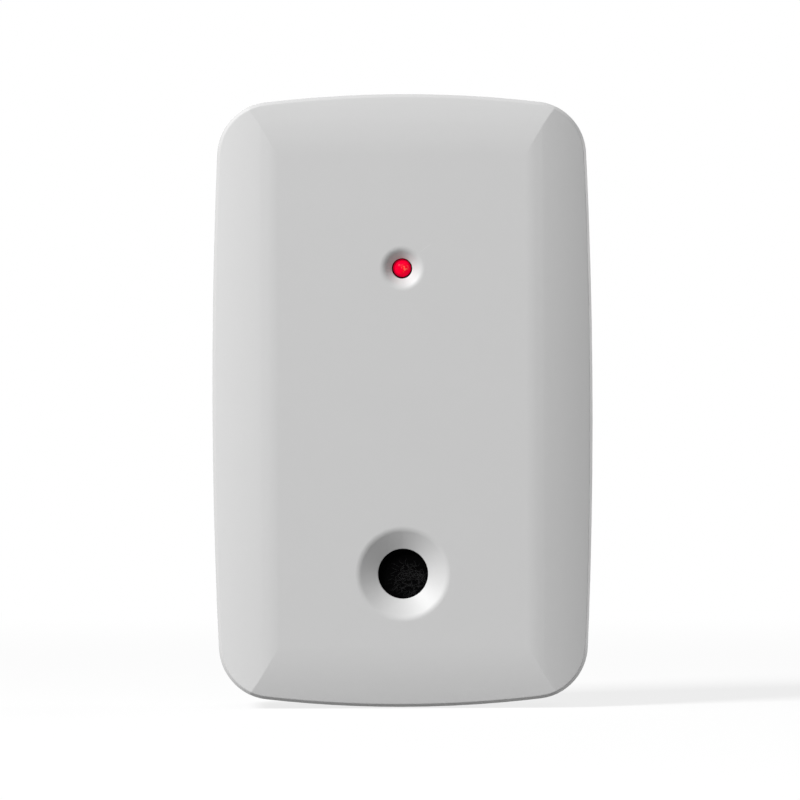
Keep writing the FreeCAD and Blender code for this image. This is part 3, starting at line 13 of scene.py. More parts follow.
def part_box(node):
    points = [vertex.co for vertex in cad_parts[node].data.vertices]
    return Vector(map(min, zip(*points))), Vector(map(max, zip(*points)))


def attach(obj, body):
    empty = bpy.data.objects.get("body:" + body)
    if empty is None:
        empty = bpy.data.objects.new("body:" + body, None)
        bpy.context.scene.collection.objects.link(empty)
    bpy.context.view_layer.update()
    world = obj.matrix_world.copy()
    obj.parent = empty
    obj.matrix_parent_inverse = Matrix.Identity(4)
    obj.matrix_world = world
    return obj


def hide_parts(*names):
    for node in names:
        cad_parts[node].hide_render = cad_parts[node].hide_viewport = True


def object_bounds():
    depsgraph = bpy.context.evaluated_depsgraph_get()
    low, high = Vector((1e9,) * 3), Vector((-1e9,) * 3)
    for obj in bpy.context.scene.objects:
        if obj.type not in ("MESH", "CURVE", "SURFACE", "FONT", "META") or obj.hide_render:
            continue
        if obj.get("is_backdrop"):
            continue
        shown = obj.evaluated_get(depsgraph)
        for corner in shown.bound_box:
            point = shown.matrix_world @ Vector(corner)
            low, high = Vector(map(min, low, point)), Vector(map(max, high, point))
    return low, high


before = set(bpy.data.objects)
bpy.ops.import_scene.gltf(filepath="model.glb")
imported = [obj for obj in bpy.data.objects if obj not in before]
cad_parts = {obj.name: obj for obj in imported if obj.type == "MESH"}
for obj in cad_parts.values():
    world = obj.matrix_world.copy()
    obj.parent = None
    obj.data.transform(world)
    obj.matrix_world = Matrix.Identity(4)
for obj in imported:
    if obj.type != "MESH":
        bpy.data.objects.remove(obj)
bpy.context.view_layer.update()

log = logging.getLogger("sensor")

MM = 0.001
PHOTO_SIDE = 800
SENSOR_WIDTH = 36.0
NOISE_RANGE = (0.3, 0.7)
NOISE_ROUGHNESS = 0.6
BEVEL_SAMPLES = 8
MITRE_LIMIT = 0.5
NEARLY_PARALLEL = 1e-3
WELD_DISTANCE = 1e-6
SORTED_DIGITS = 5

Colour = tuple[float, float, float]
Spot = tuple[float, float, float]
Pair = tuple[float, float]

OUTWARD: Spot = (0.0, -1.0, 0.0)
UPWARD: Spot = (0.0, 0.0, 1.0)
PURE_WHITE: Colour = (1.0, 1.0, 1.0)


class Body(Enum):
    """The bodies of the sensor that the added pieces ride on."""

    BASE = "base"
    COVER = "cover"


class Slot(Enum):
    """The record's material slots that the added pieces take."""

    CASE = "case_plastic"
    LENS = "red_lens"
    FELT = "black_felt"
    BLACK = "black_plastic"
    RELAY = "relay_plastic"
    SLEEVE = "capacitor_sleeve"
    CAN = "can_aluminium"
    STEEL = "steel"
    TIN = "tinned_metal"
    BOARD = "board_laminate"


class Layers(Enum):
    """How many finer layers a noise has on top of its blotches."""

    COARSE = 1.0
    EVEN = 2.0
    FINE = 3.0
    FINEST = 4.0


class Term:
    """One value in a shader, with Python's arithmetic on it."""

    def __init__(self, shader: "Shader", socket: bpy.types.NodeSocket) -> None:
        """Wrap a socket.

        Args:
            shader: The shader that owns the socket.
            socket: The output that carries the value.
        """
        self.shader = shader
        self.socket = socket

    def _maths(self, operation: str, *parts: "Value") -> "Term":
        """Add one Math node.

        Args:
            operation: The node's operation.
            parts: Values or terms for its sockets.

        Returns:
            The result as a term.
        """
        node = self.shader.node("ShaderNodeMath", {"operation": operation}, dict(enumerate(parts)))
        return Term(self.shader, node.outputs[0])

    def __add__(self, other: "Value") -> "Term":
        """Sum."""
        return self._maths("ADD", self, other)

    def __radd__(self, other: float) -> "Term":
        """Sum with a number on the left."""
        return self._maths("ADD", other, self)

    def __sub__(self, other: "Value") -> "Term":
        """Difference."""
        return self._maths("SUBTRACT", self, other)

    def __rsub__(self, other: float) -> "Term":
        """Difference from a number."""
        return self._maths("SUBTRACT", other, self)

    def __mul__(self, other: "Value") -> "Term":
        """Product."""
        return self._maths("MULTIPLY", self, other)

    def __rmul__(self, other: float) -> "Term":
        """Product with a number on the left."""
        return self._maths("MULTIPLY", other, self)

    def __gt__(self, other: "Value") -> "Term":
        """1 where this is the larger, else 0."""
        return self._maths("GREATER_THAN", self, other)

    def __lt__(self, other: "Value") -> "Term":
        """1 where this is the smaller, else 0."""
        return self._maths("LESS_THAN", self, other)

    def __abs__(self) -> "Term":
        """Size without sign."""
        return self._maths("ABSOLUTE", self)

    def most(self, other: "Value") -> "Term":
        """The larger of the two."""
        return self._maths("MAXIMUM", self, other)

    def sine(self) -> "Term":
        """Sine of this angle in radians."""
        return self._maths("SINE", self)


Value = Union[float, Term]


class Place(Term):
    """A point or direction in a shader."""

    def _vector(self, operation: str, *parts: Union[Spot, Term], output: int = 0) -> bpy.types.NodeSocket:
        """Add one Vector Math node.

        Args:
            operation: The node's operation.
            parts: Vectors or terms for its sockets.
            output: Which output is read.

        Returns:
            The socket of the result.
        """
        node = self.shader.node("ShaderNodeVectorMath", {"operation": operation}, dict(enumerate(parts)))
        return node.outputs[output]

    def moved(self, by: Spot) -> "Place":
        """The point less an offset."""
        return Place(self.shader, self._vector("SUBTRACT", self, by))

    def stretched(self, by: Spot) -> "Place":
        """The point with each part multiplied."""
        return Place(self.shader, self._vector("MULTIPLY", self, by))

    def length(self) -> Term:
        """Distance from the origin."""
        return Term(self.shader, self._vector("LENGTH", self, output=1))

    def along(self, direction: Spot) -> Term:
        """How far the point lies along a direction."""
        return Term(self.shader, self._vector("DOT_PRODUCT", self, direction, output=1))


class Shader:
    """The node tree of one material or world."""

    def __init__(self, owner: Union[bpy.types.Material, bpy.types.World]) -> None:
        """Start an empty tree.

        Args:
            owner: What the tree belongs to.
        """
        owner.use_nodes = True
        self.tree = owner.node_tree
        self.tree.nodes.clear()

    def node(self, kind: str, settings: Mapping[str, object],
             inputs: Mapping[Union[int, str], object]) -> bpy.types.Node:
        """Add any node: its settings first, then its values and links.

        Args:
            kind: Blender's name of the node type.
            settings: Properties by name.
            inputs: Values, terms or sockets by input name or number.

        Returns:
            The new node.
        """
        node = self.tree.nodes.new(kind)
        for name, setting in settings.items():
            setattr(node, name, setting)
        for key, given in inputs.items():
            socket = node.inputs[key]
            if isinstance(given, Term):
                self.tree.links.new(given.socket, socket)
            elif isinstance(given, bpy.types.NodeSocket):
                self.tree.links.new(given, socket)
            elif socket.type == "RGBA" and len(given) == 3:
                socket.default_value = (*given, 1.0)
            else:
                socket.default_value = given
        return node

    def place(self) -> Place:
        """The point on the piece, in metres from the frame's origin."""
        return Place(self, self.node("ShaderNodeTexCoord", {}, {}).outputs["Object"])

    def noise(self, size: float, layers: Layers = Layers.EVEN, at: Union[Place, None] = None) -> Term:
        """Soft random variation from 0 to 1.

        Args:
            size: Width of one blotch in metres.
            layers: How many finer layers are added.
            at: The point to read it at, the piece's own by default.

        Returns:
            The variation.
        """
        inputs = {
            "Vector": at or self.place(),
            "Scale": 1.0 / size,
            "Detail": layers.value,
            "Roughness": NOISE_ROUGHNESS,
        }
        return Term(self, self.node("ShaderNodeTexNoise", {}, inputs).outputs["Fac"])

    def cells(self, size: float) -> Term:
        """Distance to the nearest of many scattered points.

        Args:
            size: Spacing of the points in metres.

        Returns:
            The distance, about 0 to 1.
        """
        inputs = {"Vector": self.place(), "Scale": 1.0 / size}
        return Term(self, self.node("ShaderNodeTexVoronoi", {"feature": "F1"}, inputs).outputs["Distance"])

    def ease(self, value: Term, start: float, end: float, low: float = 0.0, high: float = 1.0) -> Term:
        """Turn the range start to end smoothly into low to high.

        Args:
            value: The value to turn.
            start: Where the change starts.
            end: Where it ends.
            low: The result up to start.
            high: The result from end on.

        Returns:
            The eased value.
        """
        inputs = {"Value": value, "From Min": start, "From Max": end, "To Min": low, "To Max": high}
        node = self.node("ShaderNodeMapRange", {"interpolation_type": "SMOOTHSTEP"}, inputs)
        return Term(self, node.outputs["Result"])

    def mix(self, factor: Value, first: Union[Colour, Term], second: Union[Colour, Term]) -> Term:
        """Blend two colours.

        Args:
            factor: 0 gives the first and 1 the second.
            first: A colour.
            second: A colour.

        Returns:
            The blended colour.
        """
        node = self.node("ShaderNodeMix", {"data_type": "RGBA"}, {0: factor, 6: first, 7: second})
        return Term(self, node.outputs[2])

    def bump(self, height: Term, depth: float, softened: float = 0.0) -> Term:
        """Normals of a small relief.

        Args:
            height: The relief from 0 to 1.
            depth: Its real height in metres.
            softened: Radius in metres to which every edge looks rounded, or 0 for sharp edges.

        Returns:
            The normal.
        """
        inputs = {"Distance": depth, "Height": height}
        if softened:
            edge = self.node("ShaderNodeBevel", {"samples": BEVEL_SAMPLES}, {"Radius": softened})
            inputs["Normal"] = edge.outputs["Normal"]
        return Term(self, self.node("ShaderNodeBump", {}, inputs).outputs["Normal"])

    def principled(self, inputs: Mapping[Union[int, str], object]) -> bpy.types.Node:
        """The main surface node."""
        return self.node("ShaderNodeBsdfPrincipled", {}, inputs)

    def finish(self, surface: bpy.types.NodeSocket, output: str = "ShaderNodeOutputMaterial") -> None:
        """Send a surface to the output node of the material or world."""
        self.node(output, {}, {"Surface": surface})


@dataclass(frozen=True)
class Finish:
    """A surface finish: a name and the method that lays it on."""

    name: str

    def lay(self, shader: Shader) -> None:
        """Build the nodes; each kind of finish has its own."""
        raise NotImplementedError

    def material(self) -> bpy.types.Material:
        """Make the material once and hand the same one out after that.

        Returns:
            The material.
        """
        made = bpy.data.materials.get("finish_" + self.name)
        if made is None:
            made = bpy.data.materials.new("finish_" + self.name)
            self.lay(Shader(made))
        return made


@dataclass(frozen=True)
class Moulding(Finish):
    """Injection-moulded plastic: fine spark texture, slight flow mottling and rubbed spots."""

    colour: Colour
    roughness: float = 0.45
    texture_size: float = 0.16 * MM
    texture_depth: float = 0.004 * MM
    mottle: float = 0.03
    specular: float = 0.5
    coat: float = 0.0
    cloud_size: float = 9 * MM
    cloud_share: float = 0.6
    fleck_size: float = 0.5 * MM
    rubbed_size: float = 6 * MM
    rubbed_change: float = 0.02

    def tone(self, shader: Shader) -> Term:
        """Mottle the base colour.

        Args:
            shader: The material's shader.

        Returns:
            The colour.
        """
        clouds = shader.noise(self.cloud_size, Layers.FINE) * self.cloud_share
        flecks = shader.noise(self.fleck_size) * (1 - self.cloud_share)
        darker = tuple(part * (1 - self.mottle) for part in self.colour)
        lighter = tuple(min(part * (1 + self.mottle), 1.0) for part in self.colour)
        return shader.mix(clouds + flecks, darker, lighter)

    def sheen(self, shader: Shader) -> Term:
        """Vary the roughness over rubbed spots.

        Args:
            shader: The material's shader.

        Returns:
            The roughness.
        """
        low, high = self.roughness - self.rubbed_change, self.roughness + self.rubbed_change
        return shader.ease(shader.noise(self.rubbed_size), *NOISE_RANGE, low, high)

    def lay(self, shader: Shader) -> None:
        """Build the nodes.

        Args:
            shader: The material's shader.
        """
        grain = shader.noise(self.texture_size, Layers.FINE)
        shader.finish(shader.principled({
            "Base Color": self.tone(shader),
            "Roughness": self.sheen(shader),
            "Normal": shader.bump(grain, self.texture_depth),
            "Specular IOR Level": self.specular,
            "Coat Weight": self.coat,
        }).outputs[0])


@dataclass(frozen=True)
class CaseMoulding(Moulding):
    """The case's own plastic, with the hairline and the few specks that its front has picked up."""

    scratch_start: Spot = (2.62 * MM, 0.0, 23.25 * MM)
    scratch_end: Spot = (4.68 * MM, 0.0, 24.68 * MM)
    scratch_width: float = 0.05 * MM
    scratch_core: float = 0.3
    scratch_strength: float = 0.4
    panel_depth: float = 22.5 * MM
    chafed: Colour = (0.68, 0.68, 0.68)
    dirt: Colour = (0.2, 0.19, 0.18)
    dirt_strength: float = 0.3
    speck_spacing: float = 11 * MM
    speck_radius: float = 0.012
    softened: float = 0.25 * MM

    def scratch(self, shader: Shader) -> Term:
        """Mask the hairline on the front panel.

        Args:
            shader: The material's shader.

        Returns:
            1 on the hairline, fading to 0 beside it and at its ends.
        """
        start = Vector(self.scratch_start)
        run = Vector(self.scratch_end) - start
        ahead = run.normalized()
        aside = Vector((-ahead.z, 0.0, ahead.x))
        place = shader.place().moved(tuple(start))
        off = abs(place.along(tuple(aside)))
        near = shader.ease(off, self.scratch_width / 2, self.scratch_width, 1.0, 0.0)
        from_middle = abs(place.along(tuple(ahead)) - run.length / 2)
        inside = shader.ease(from_middle, run.length * self.scratch_core, run.length / 2, 1.0, 0.0)
        on_panel = shader.place().along(OUTWARD) > self.panel_depth
        return near * inside * on_panel

    def lay(self, shader: Shader) -> None:
        """Build the nodes.

        Args:
            shader: The material's shader.
        """
        grain = shader.noise(self.texture_size, Layers.FINE)
        specks = (shader.cells(self.speck_spacing) < self.speck_radius) * self.dirt_strength
        dirty = shader.mix(specks, self.tone(shader), self.dirt)
        shader.finish(shader.principled({
            "Base Color": shader.mix(self.scratch(shader) * self.scratch_strength, dirty, self.chafed),
            "Roughness": self.sheen(shader),
            "Normal": shader.bump(grain, self.texture_depth, self.softened),
            "Specular IOR Level": self.specular,
        }).outputs[0])


@dataclass(frozen=True)
class Metal(Finish):
    """Plated or drawn metal with fine marks and dull patches."""

    colour: Colour
    roughness: float = 0.3
    mark_size: float = 0.12 * MM
    mark_depth: float = 0.003 * MM
    mark_stretch: Spot = (1.0, 0.15, 1.0)
    mark_change: float = 0.12
    tarnish: Colour = (0.25, 0.24, 0.22)
    tarnish_share: float = 0.3
    tarnish_size: float = 1.6 * MM
    tarnish_range: Pair = (0.45, 0.75)
    tarnish_dulls: float = 0.5
    softened: float = 0.08 * MM

    def lay(self, shader: Shader) -> None:
        """Build the nodes.

        Args:
            shader: The material's shader.
        """
        drawn = shader.place().stretched(self.mark_stretch)
        marks = shader.noise(self.mark_size, Layers.FINE, drawn)
        blotches = shader.noise(self.tarnish_size, Layers.FINEST)
        patches = shader.ease(blotches, *self.tarnish_range, 0.0, self.tarnish_share)
        marked = marks * self.mark_change + (self.roughness - self.mark_change / 2)
        shader.finish(shader.principled({
            "Base Color": shader.mix(patches, self.colour, self.tarnish),
            "Metallic": 1.0,
            "Roughness": patches * self.tarnish_dulls + marked,
            "Normal": shader.bump(marks, self.mark_depth, self.softened),
        }).outputs[0])


@dataclass(frozen=True)
class SolderMask(Finish):
    """Green coated glass-fibre laminate: weave under a glossy lacquer."""

    colour: Colour = (0.012, 0.13, 0.045)
    lighter: float = 1.35
    weave: float = 0.5 * MM
    weave_depth: float = 0.002 * MM
    weave_share: float = 0.35
    cloud_size: float = 4 * MM
    cloud_share: float = 0.4
    roughness: Pair = (0.28, 0.38)
    coat: float = 0.3

    def lay(self, shader: Shader) -> None:
        """Build the nodes.

        Args:
            shader: The material's shader.
        """
        place = shader.place()
        turn = 2 * math.pi / self.weave
        cloth = place.along((turn, 0.0, 0.0)).sine() * place.along((0.0, 0.0, turn)).sine() * 0.5 + 0.5
        cloud = shader.noise(self.cloud_size, Layers.FINE)
        light = tuple(part * self.lighter for part in self.colour)
        shader.finish(shader.principled({
            "Base Color": shader.mix(cloth * self.weave_share + cloud * self.cloud_share, self.colour, light),
            "Roughness": shader.ease(cloud, *NOISE_RANGE, *self.roughness),
            "Normal": shader.bump(cloth, self.weave_depth),
            "Coat Weight": self.coat,
        }).outputs[0])


@dataclass(frozen=True)
class Felt(Finish):
    """Matted black fibres."""

    colour: Colour = (0.0012, 0.0012, 0.0013)
    fibre: Colour = (0.0065, 0.0065, 0.007)
    strand_size: float = 0.14 * MM
    strand_stretch: float = 0.25
    strand_range: Pair = (0.55, 0.75)
    strand_depth: float = 0.05 * MM
    roughness: Pair = (0.9, 1.0)
    roughness_range: Pair = (0.4, 0.8)
    specular: float = 0.02

    def lay(self, shader: Shader) -> None:
        """Build the nodes.

        Args:
            shader: The material's shader.
        """
        upright = shader.place().stretched((1.0, 1.0, self.strand_stretch))
        level = shader.place().stretched((self.strand_stretch, 1.0, 1.0))
        strands = [shader.noise(self.strand_size, Layers.FINEST, at) for at in (upright, level)]
        tangle = strands[0].most(strands[1])
        shader.finish(shader.principled({
            "Base Color": shader.mix(shader.ease(tangle, *self.strand_range), self.colour, self.fibre),
            "Roughness": shader.ease(tangle, *self.roughness_range, *self.roughness),
            "Normal": shader.bump(tangle, self.strand_depth),
            "Specular IOR Level": self.specular,
        }).outputs[0])


@dataclass(frozen=True)
class RedLens(Finish):
    """Tinted epoxy of a lit indicator, with painted reflections as broken glints on its dome and painted
    shade on its rear.
    """

    colour: Colour = (0.9, 0.0, 0.02)
    deep: Colour = (0.7, 0.0, 0.03)
    deep_share: float = 0.4
    # Painted reflection: the glints' orange-pink tint in the base colour.
    spark: Colour = (1.0, 0.12, 0.07)
    # Painted shade: the lens behind its dome is near black, for the dark ring in the gap round it.
    painted_shade_rear: Colour = (0.004, 0.0, 0.0)
    glow: Colour = (1.0, 0.0, 0.022)
    rim_glow: Colour = (0.95, 0.0, 0.055)
    rim_start: float = 0.3
    rim_share: float = 0.7
    # Painted reflection: the glints' colour in the glow.
    glint: Colour = (1.0, 0.13, 0.08)
    glint_centre: Spot = (0.35 * MM, 0.0, 20.85 * MM)
    glint_reach: float = 0.85 * MM
    glint_core: float = 0.2
    glint_size: float = 0.42 * MM
    glint_range: Pair = (0.52, 0.62)
    streak_size: float = 0.5 * MM
    centre: Spot = (0.0, 0.0, 20.8 * MM)
    radius: float = 1.42 * MM
    front: float = -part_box("led_lens")[0].y
    equator: Pair = (1.1, 0.9)
    roughness: Pair = (0.16, 0.24)
    specular: float = 0.03
    strength: float = 0.32

    def away(self, shader: Shader, centre: Spot) -> Term:
        """Measure the distance from a line through the lens, seen from the front.

        Args:
            shader: The material's shader.
            centre: A point on the line.

        Returns:
            The distance in metres.
        """
        return shader.place().moved(centre).stretched((1.0, 0.0, 1.0)).length()

    def lay(self, shader: Shader) -> None:
        """Build the nodes.

        Args:
            shader: The material's shader.
        """
        rim = shader.ease(self.away(shader, self.centre), self.radius * self.rim_start, self.radius)
        streak = shader.noise(self.streak_size, Layers.FINE)
        # Painted reflections: broken glints round glint_centre, in both the base colour and the glow.
        off = self.away(shader, self.glint_centre)
        near = shader.ease(off, self.glint_reach * self.glint_core, self.glint_reach, 1.0, 0.0)
        painted_glints = near * shader.ease(shader.noise(self.glint_size, Layers.COARSE), *self.glint_range)
        # Painted shade: behind the dome's equator the lens turns near black in base colour and glow.
        start, end = (self.front - self.radius * share for share in self.equator)
        dome = shader.ease(shader.place().along(OUTWARD), start, end)
        body = shader.mix(rim * self.rim_share + streak * (1 - self.rim_share), self.glow, self.rim_glow)
        tint = shader.mix(painted_glints, shader.mix(streak * self.deep_share, self.colour, self.deep), self.spark)
        shader.finish(shader.principled({
            "Base Color": shader.mix(dome, self.painted_shade_rear, tint),
            "Roughness": shader.ease(streak, *NOISE_RANGE, *self.roughness),
            "Specular IOR Level": self.specular,
            "Emission Color": shader.mix(dome, self.painted_shade_rear, shader.mix(painted_glints, body, self.glint)),
            "Emission Strength": self.strength,
        }).outputs[0])


@dataclass(frozen=True)
class Fired(Finish):
    """Fired ceramic bodies in one row, with tinned ends."""

    colour: Colour
    row_z: float
    half_length: float
    darker: float = 0.85
    grain_size: float = 0.25 * MM
    grain_depth: float = 0.004 * MM
    cap: Colour = (0.62, 0.61, 0.58)
    cap_length: float = 0.4 * MM
    cap_metallic: float = 0.9
    roughness: float = 0.4
    roughness_change: float = 0.1

    def lay(self, shader: Shader) -> None:
        """Build the nodes.

        Args:
            shader: The material's shader.
        """
        off = abs(shader.place().along(UPWARD) - self.row_z)
        ends = off > (self.half_length - self.cap_length)
        grain = shader.noise(self.grain_size, Layers.FINE)
        dark = tuple(part * self.darker for part in self.colour)
        shader.finish(shader.principled({
            "Base Color": shader.mix(ends, shader.mix(grain, dark, self.colour), self.cap),
            "Metallic": ends * self.cap_metallic,
            "Roughness": grain * self.roughness_change + self.roughness,
            "Normal": shader.bump(grain, self.grain_depth),
        }).outputs[0])


CASE = CaseMoulding("case", (0.56, 0.56, 0.56), roughness=0.5, mottle=0.012)
CASE_BACK = Moulding("case_back", (0.56, 0.56, 0.56), roughness=0.5, mottle=0.015)
FELT = Felt("felt")
FIBRE_DARK = Moulding("fibre_dark", (0.0025, 0.0025, 0.0027), roughness=0.9, specular=0.02)
# The felt's real grey speckle, gathered at its lower right as painted light.
FIBRE_GREY_PAINTED_LIGHT = Moulding("fibre_grey", (0.038, 0.038, 0.039), roughness=0.9, specular=0.04)
LENS = RedLens("red_lens")
MASK = SolderMask("solder_mask")
RUBBER = Moulding("rubber", (0.018, 0.018, 0.019), roughness=0.75, texture_size=0.1 * MM, mottle=0.12,
                  specular=0.3)
BLACK = Moulding("black_plastic", (0.02, 0.02, 0.021), roughness=0.5, mottle=0.1)
EPOXY = Moulding("epoxy", (0.024, 0.024, 0.026), roughness=0.6, texture_size=0.08 * MM,
                 texture_depth=0.006 * MM, mottle=0.15)
GREEN = Moulding("green_plastic", (0.022, 0.23, 0.075), roughness=0.42, mottle=0.06)
WHITE = Moulding("white_plastic", (0.68, 0.67, 0.64), roughness=0.4, mottle=0.03)
RED = Moulding("red_plastic", (0.42, 0.018, 0.016), roughness=0.42, mottle=0.06)
CREAM = Moulding("relay_plastic", (0.62, 0.58, 0.46), roughness=0.48, mottle=0.03)
TIN = Metal("tinned", (0.5, 0.49, 0.47), roughness=0.34)
STEEL = Metal("zinc_steel", (0.4, 0.4, 0.4), roughness=0.3, tarnish=(0.26, 0.25, 0.21))
CAN = Metal("drawn_can", (0.5, 0.51, 0.53), roughness=0.26, tarnish_share=0.15)
GOLD = Metal("gilt_brass", (0.78, 0.56, 0.22), roughness=0.28, tarnish=(0.4, 0.27, 0.1))
SLEEVE = Moulding("capacitor_sleeve", (0.012, 0.018, 0.045), roughness=0.3, mottle=0.1, coat=0.4)
STRIPE = Moulding("sleeve_stripe", (0.5, 0.51, 0.53), roughness=0.35, mottle=0.08, coat=0.4)
TRACK = SolderMask("covered_copper", (0.04, 0.29, 0.12))
LEGEND = Moulding("printed_legend", (0.72, 0.73, 0.7), roughness=0.6, mottle=0.06)
SOLDER = Metal("solder", (0.44, 0.44, 0.44), roughness=0.24)
RESISTOR = Fired("resistor", (0.02, 0.02, 0.022), row_z=-7.6 * MM, half_length=1.0 * MM)
CERAMIC = Fired("ceramic", (0.42, 0.26, 0.13), row_z=-19.6 * MM, half_length=1.0 * MM)

NODE_FINISHES: Mapping[str, Finish] = {
    "front_cover": CASE, "back_plate": CASE_BACK, "circuit_board": MASK, "board_screws": STEEL,
    "led_lens": LENS, "led_spacer": BLACK, "led_leads": TIN, "microphone_can": CAN,
    "microphone_felt": FELT, "microphone_boot": RUBBER, "microphone_pins": TIN,
    "tamper_switch_body": BLACK, "tamper_switch_plate": STEEL,
    "tamper_plunger": WHITE, "tamper_spring": STEEL, "tamper_switch_pins": TIN, "terminal_block": GREEN,
    "terminal_screws": STEEL, "terminal_clamps": GOLD, "terminal_pins": TIN, "alarm_relay": CREAM,
    "relay_pins": TIN, "large_capacitor": SLEEVE, "small_capacitors": SLEEVE, "capacitor_leads": TIN,
    "controller_chip": EPOXY, "controller_leads": TIN, "amplifier_chip": EPOXY, "amplifier_leads": TIN,
    "crystal_can": CAN, "crystal_pins": TIN, "jumper_header": BLACK, "jumper_pins": GOLD, "jumper_caps": RED,
    "chip_resistors": RESISTOR, "chip_capacitors": CERAMIC, "transistors": EPOXY, "transistor_leads": TIN,
    "voltage_regulator": EPOXY, "regulator_tab": TIN, "surge_diodes": EPOXY,
}


def mesh_from(made: bmesh.types.BMesh, name: str) -> bpy.types.Mesh:
    """Write a finished bmesh to a new mesh.

    Args:
        made: The bmesh; it is used up.
        name: The mesh's name.

    Returns:
        The mesh.
    """
    bmesh.ops.recalc_face_normals(made, faces=made.faces)
    mesh = bpy.data.meshes.new(name)
    made.to_mesh(mesh)
    made.free()
    return mesh


def carved(mesh: bpy.types.Mesh, cutter: bmesh.types.BMesh) -> bpy.types.Mesh:
    """Cut one mesh out of another.

    Args:
        mesh: The mesh that is cut.
        cutter: The mesh that is taken out of it; it is used up.

    Returns:
        The cut mesh.
    """
    pair = [
        bpy.data.objects.new(mesh.name, mesh),
        bpy.data.objects.new("cutter", mesh_from(cutter, "cutter")),
    ]
    for item in pair:
        bpy.context.scene.collection.objects.link(item)
    cut = pair[0].modifiers.new("cut", "BOOLEAN")
    cut.object = pair[1]
    cut.solver = "EXACT"
    cut.use_self = True
    made = bpy.data.meshes.new_from_object(pair[0].evaluated_get(bpy.context.evaluated_depsgraph_get()))
    for item in pair:
        bpy.data.objects.remove(item)
    return made


def add_piece(name: str, mesh: bpy.types.Mesh, finish: Finish, body: Body,
              stands_for: Sequence[str]) -> None:
    """Add a mesh to the scene as a named piece of the sensor.

    Args:
        name: The piece's name.
        mesh: Its mesh.
        finish: What it is dressed in.
        body: The body that it rides on.
        stands_for: Nodes that it replaces.
    """
    mesh.materials.clear()
    mesh.materials.append(finish.material())
    piece = bpy.data.objects.new(name, mesh)
    bpy.context.scene.collection.objects.link(piece)
    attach(piece, body.value)
    if stands_for:
        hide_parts(*stands_for)
    log.info("%s: %d faces", name, len(mesh.polygons))


def mesh_piece(name: str, made: bmesh.types.BMesh, finish: Finish,
               stands_for: Sequence[str] = (), sharp: float = 40.0,
               cutter: Union[bmesh.types.BMesh, None] = None) -> None:
    """Turn a finished bmesh into a named piece that rides on the base.

    Args:
        name: The piece's name.
        made: The bmesh; it is used up.
        finish: What it is dressed in.
        stands_for: Nodes that it replaces.
        sharp: Edges that turn by more than this many degrees stay sharp.
        cutter: What is cut out of it; it is used up.
    """
    mesh = mesh_from(made, name)
    if cutter is not None:
        mesh = carved(mesh, cutter)
    mesh.polygons.foreach_set("use_smooth", [True] * len(mesh.polygons))
    mesh.set_sharp_from_angle(angle=math.radians(sharp))
    add_piece(name, mesh, finish, Body.BASE, stands_for)


def circle(sides: int) -> list[float]:
    """Angles of evenly spaced points round a circle."""
    return [2 * math.pi * step / sides for step in range(sides)]


def add_loft(made: bmesh.types.BMesh, rings: Sequence[Sequence[Spot]]) -> None:
    """Add a closed solid through rings of as many points each.

    Args:
        made: The mesh to add to.
        rings: The rings, in order.
    """
    loops = [[made.verts.new(point) for point in ring] for ring in rings]
    for first, second in zip(loops, loops[1:]):
        for step in range(len(first)):
            following = (step + 1) % len(first)
            made.faces.new((first[step], first[following], second[following], second[step]))
    made.faces.new(loops[0][::-1])
    made.faces.new(loops[-1])


def add_tube(made: bmesh.types.BMesh, line: Sequence[Vector], radii: Sequence[float], sides: int) -> None:
    """Add a closed round tube along a line.

    Args:
        made: The mesh to add to.
        line: Points along the middle.
        radii: Radius at each point.
        sides: Faces round the tube.
    """
    rings = []
    for index, point in enumerate(line):
        ahead = (line[min(index + 1, len(line) - 1)] - line[max(index - 1, 0)]).normalized()
        side = ahead.cross(Vector((0.0, 1.0, 0.0)))
        if side.length < NEARLY_PARALLEL:
            side = ahead.cross(Vector((1.0, 0.0, 0.0)))
        side.normalize()
        up = side.cross(ahead)
        rings.append([
            point + (side * math.cos(turn) + up * math.sin(turn)) * radii[index] for turn in circle(sides)])
    add_loft(made, rings)


def add_turned(made: bmesh.types.BMesh, centre: Spot, profile: Sequence[Pair], sides: int) -> None:
    """Add a closed turned solid whose axis runs from back to front.

    Args:
        made: The mesh to add to.
        centre: A point on the axis; its y is the zero of the depths.
        profile: (depth, radius) pairs from back to front.
        sides: Faces round the axis.
    """
    add_loft(made, [[
        (centre[0] + radius * math.cos(turn), centre[1] - depth, centre[2] + radius * math.sin(turn))
        for turn in circle(sides)] for depth, radius in profile])


def add_case(made: bmesh.types.BMesh, low: Vector, high: Vector, layers: Sequence[Pair], corner: float,
             steps: int = 3) -> None:
    """Add a block with rounded upright corners whose size changes from layer to layer.

    Args:
        made: The mesh to add to.
        low: Its lowest corner.
        high: Its highest corner.
        layers: (depth from its rear face, inset from the box) pairs from back to front.
        corner: Radius of the upright corners.
        steps: Points in each corner after the first.
    """
    rings = []
    for depth, inset in layers:
        ring = []
        for quarter, (right, up) in enumerate(((1, 1), (-1, 1), (-1, -1), (1, -1))):
            x = (high.x if right > 0 else low.x) - right * (inset + corner)
            z = (high.z if up > 0 else low.z) - up * (inset + corner)
            for step in range(steps + 1):
                turn = math.pi / 2 * (quarter + step / steps)
                ring.append((x + corner * math.cos(turn), high.y - depth, z + corner * math.sin(turn)))
        rings.append(ring)
    add_loft(made, rings)


def add_box(made: bmesh.types.BMesh, centre: Spot, sides: Spot) -> None:
    """Add a plain box, as a cutter or a small strip.

    Args:
        made: The mesh to add to.
        centre: Its middle.
        sides: Its width, depth and height.
    """
    half = Vector(sides) / 2
    low, high = Vector(centre) - half, Vector(centre) + half
    add_loft(made, [[(low.x, y, low.z), (high.x, y, low.z), (high.x, y, high.z), (low.x, y, high.z)]
                    for y in (high.y, low.y)])


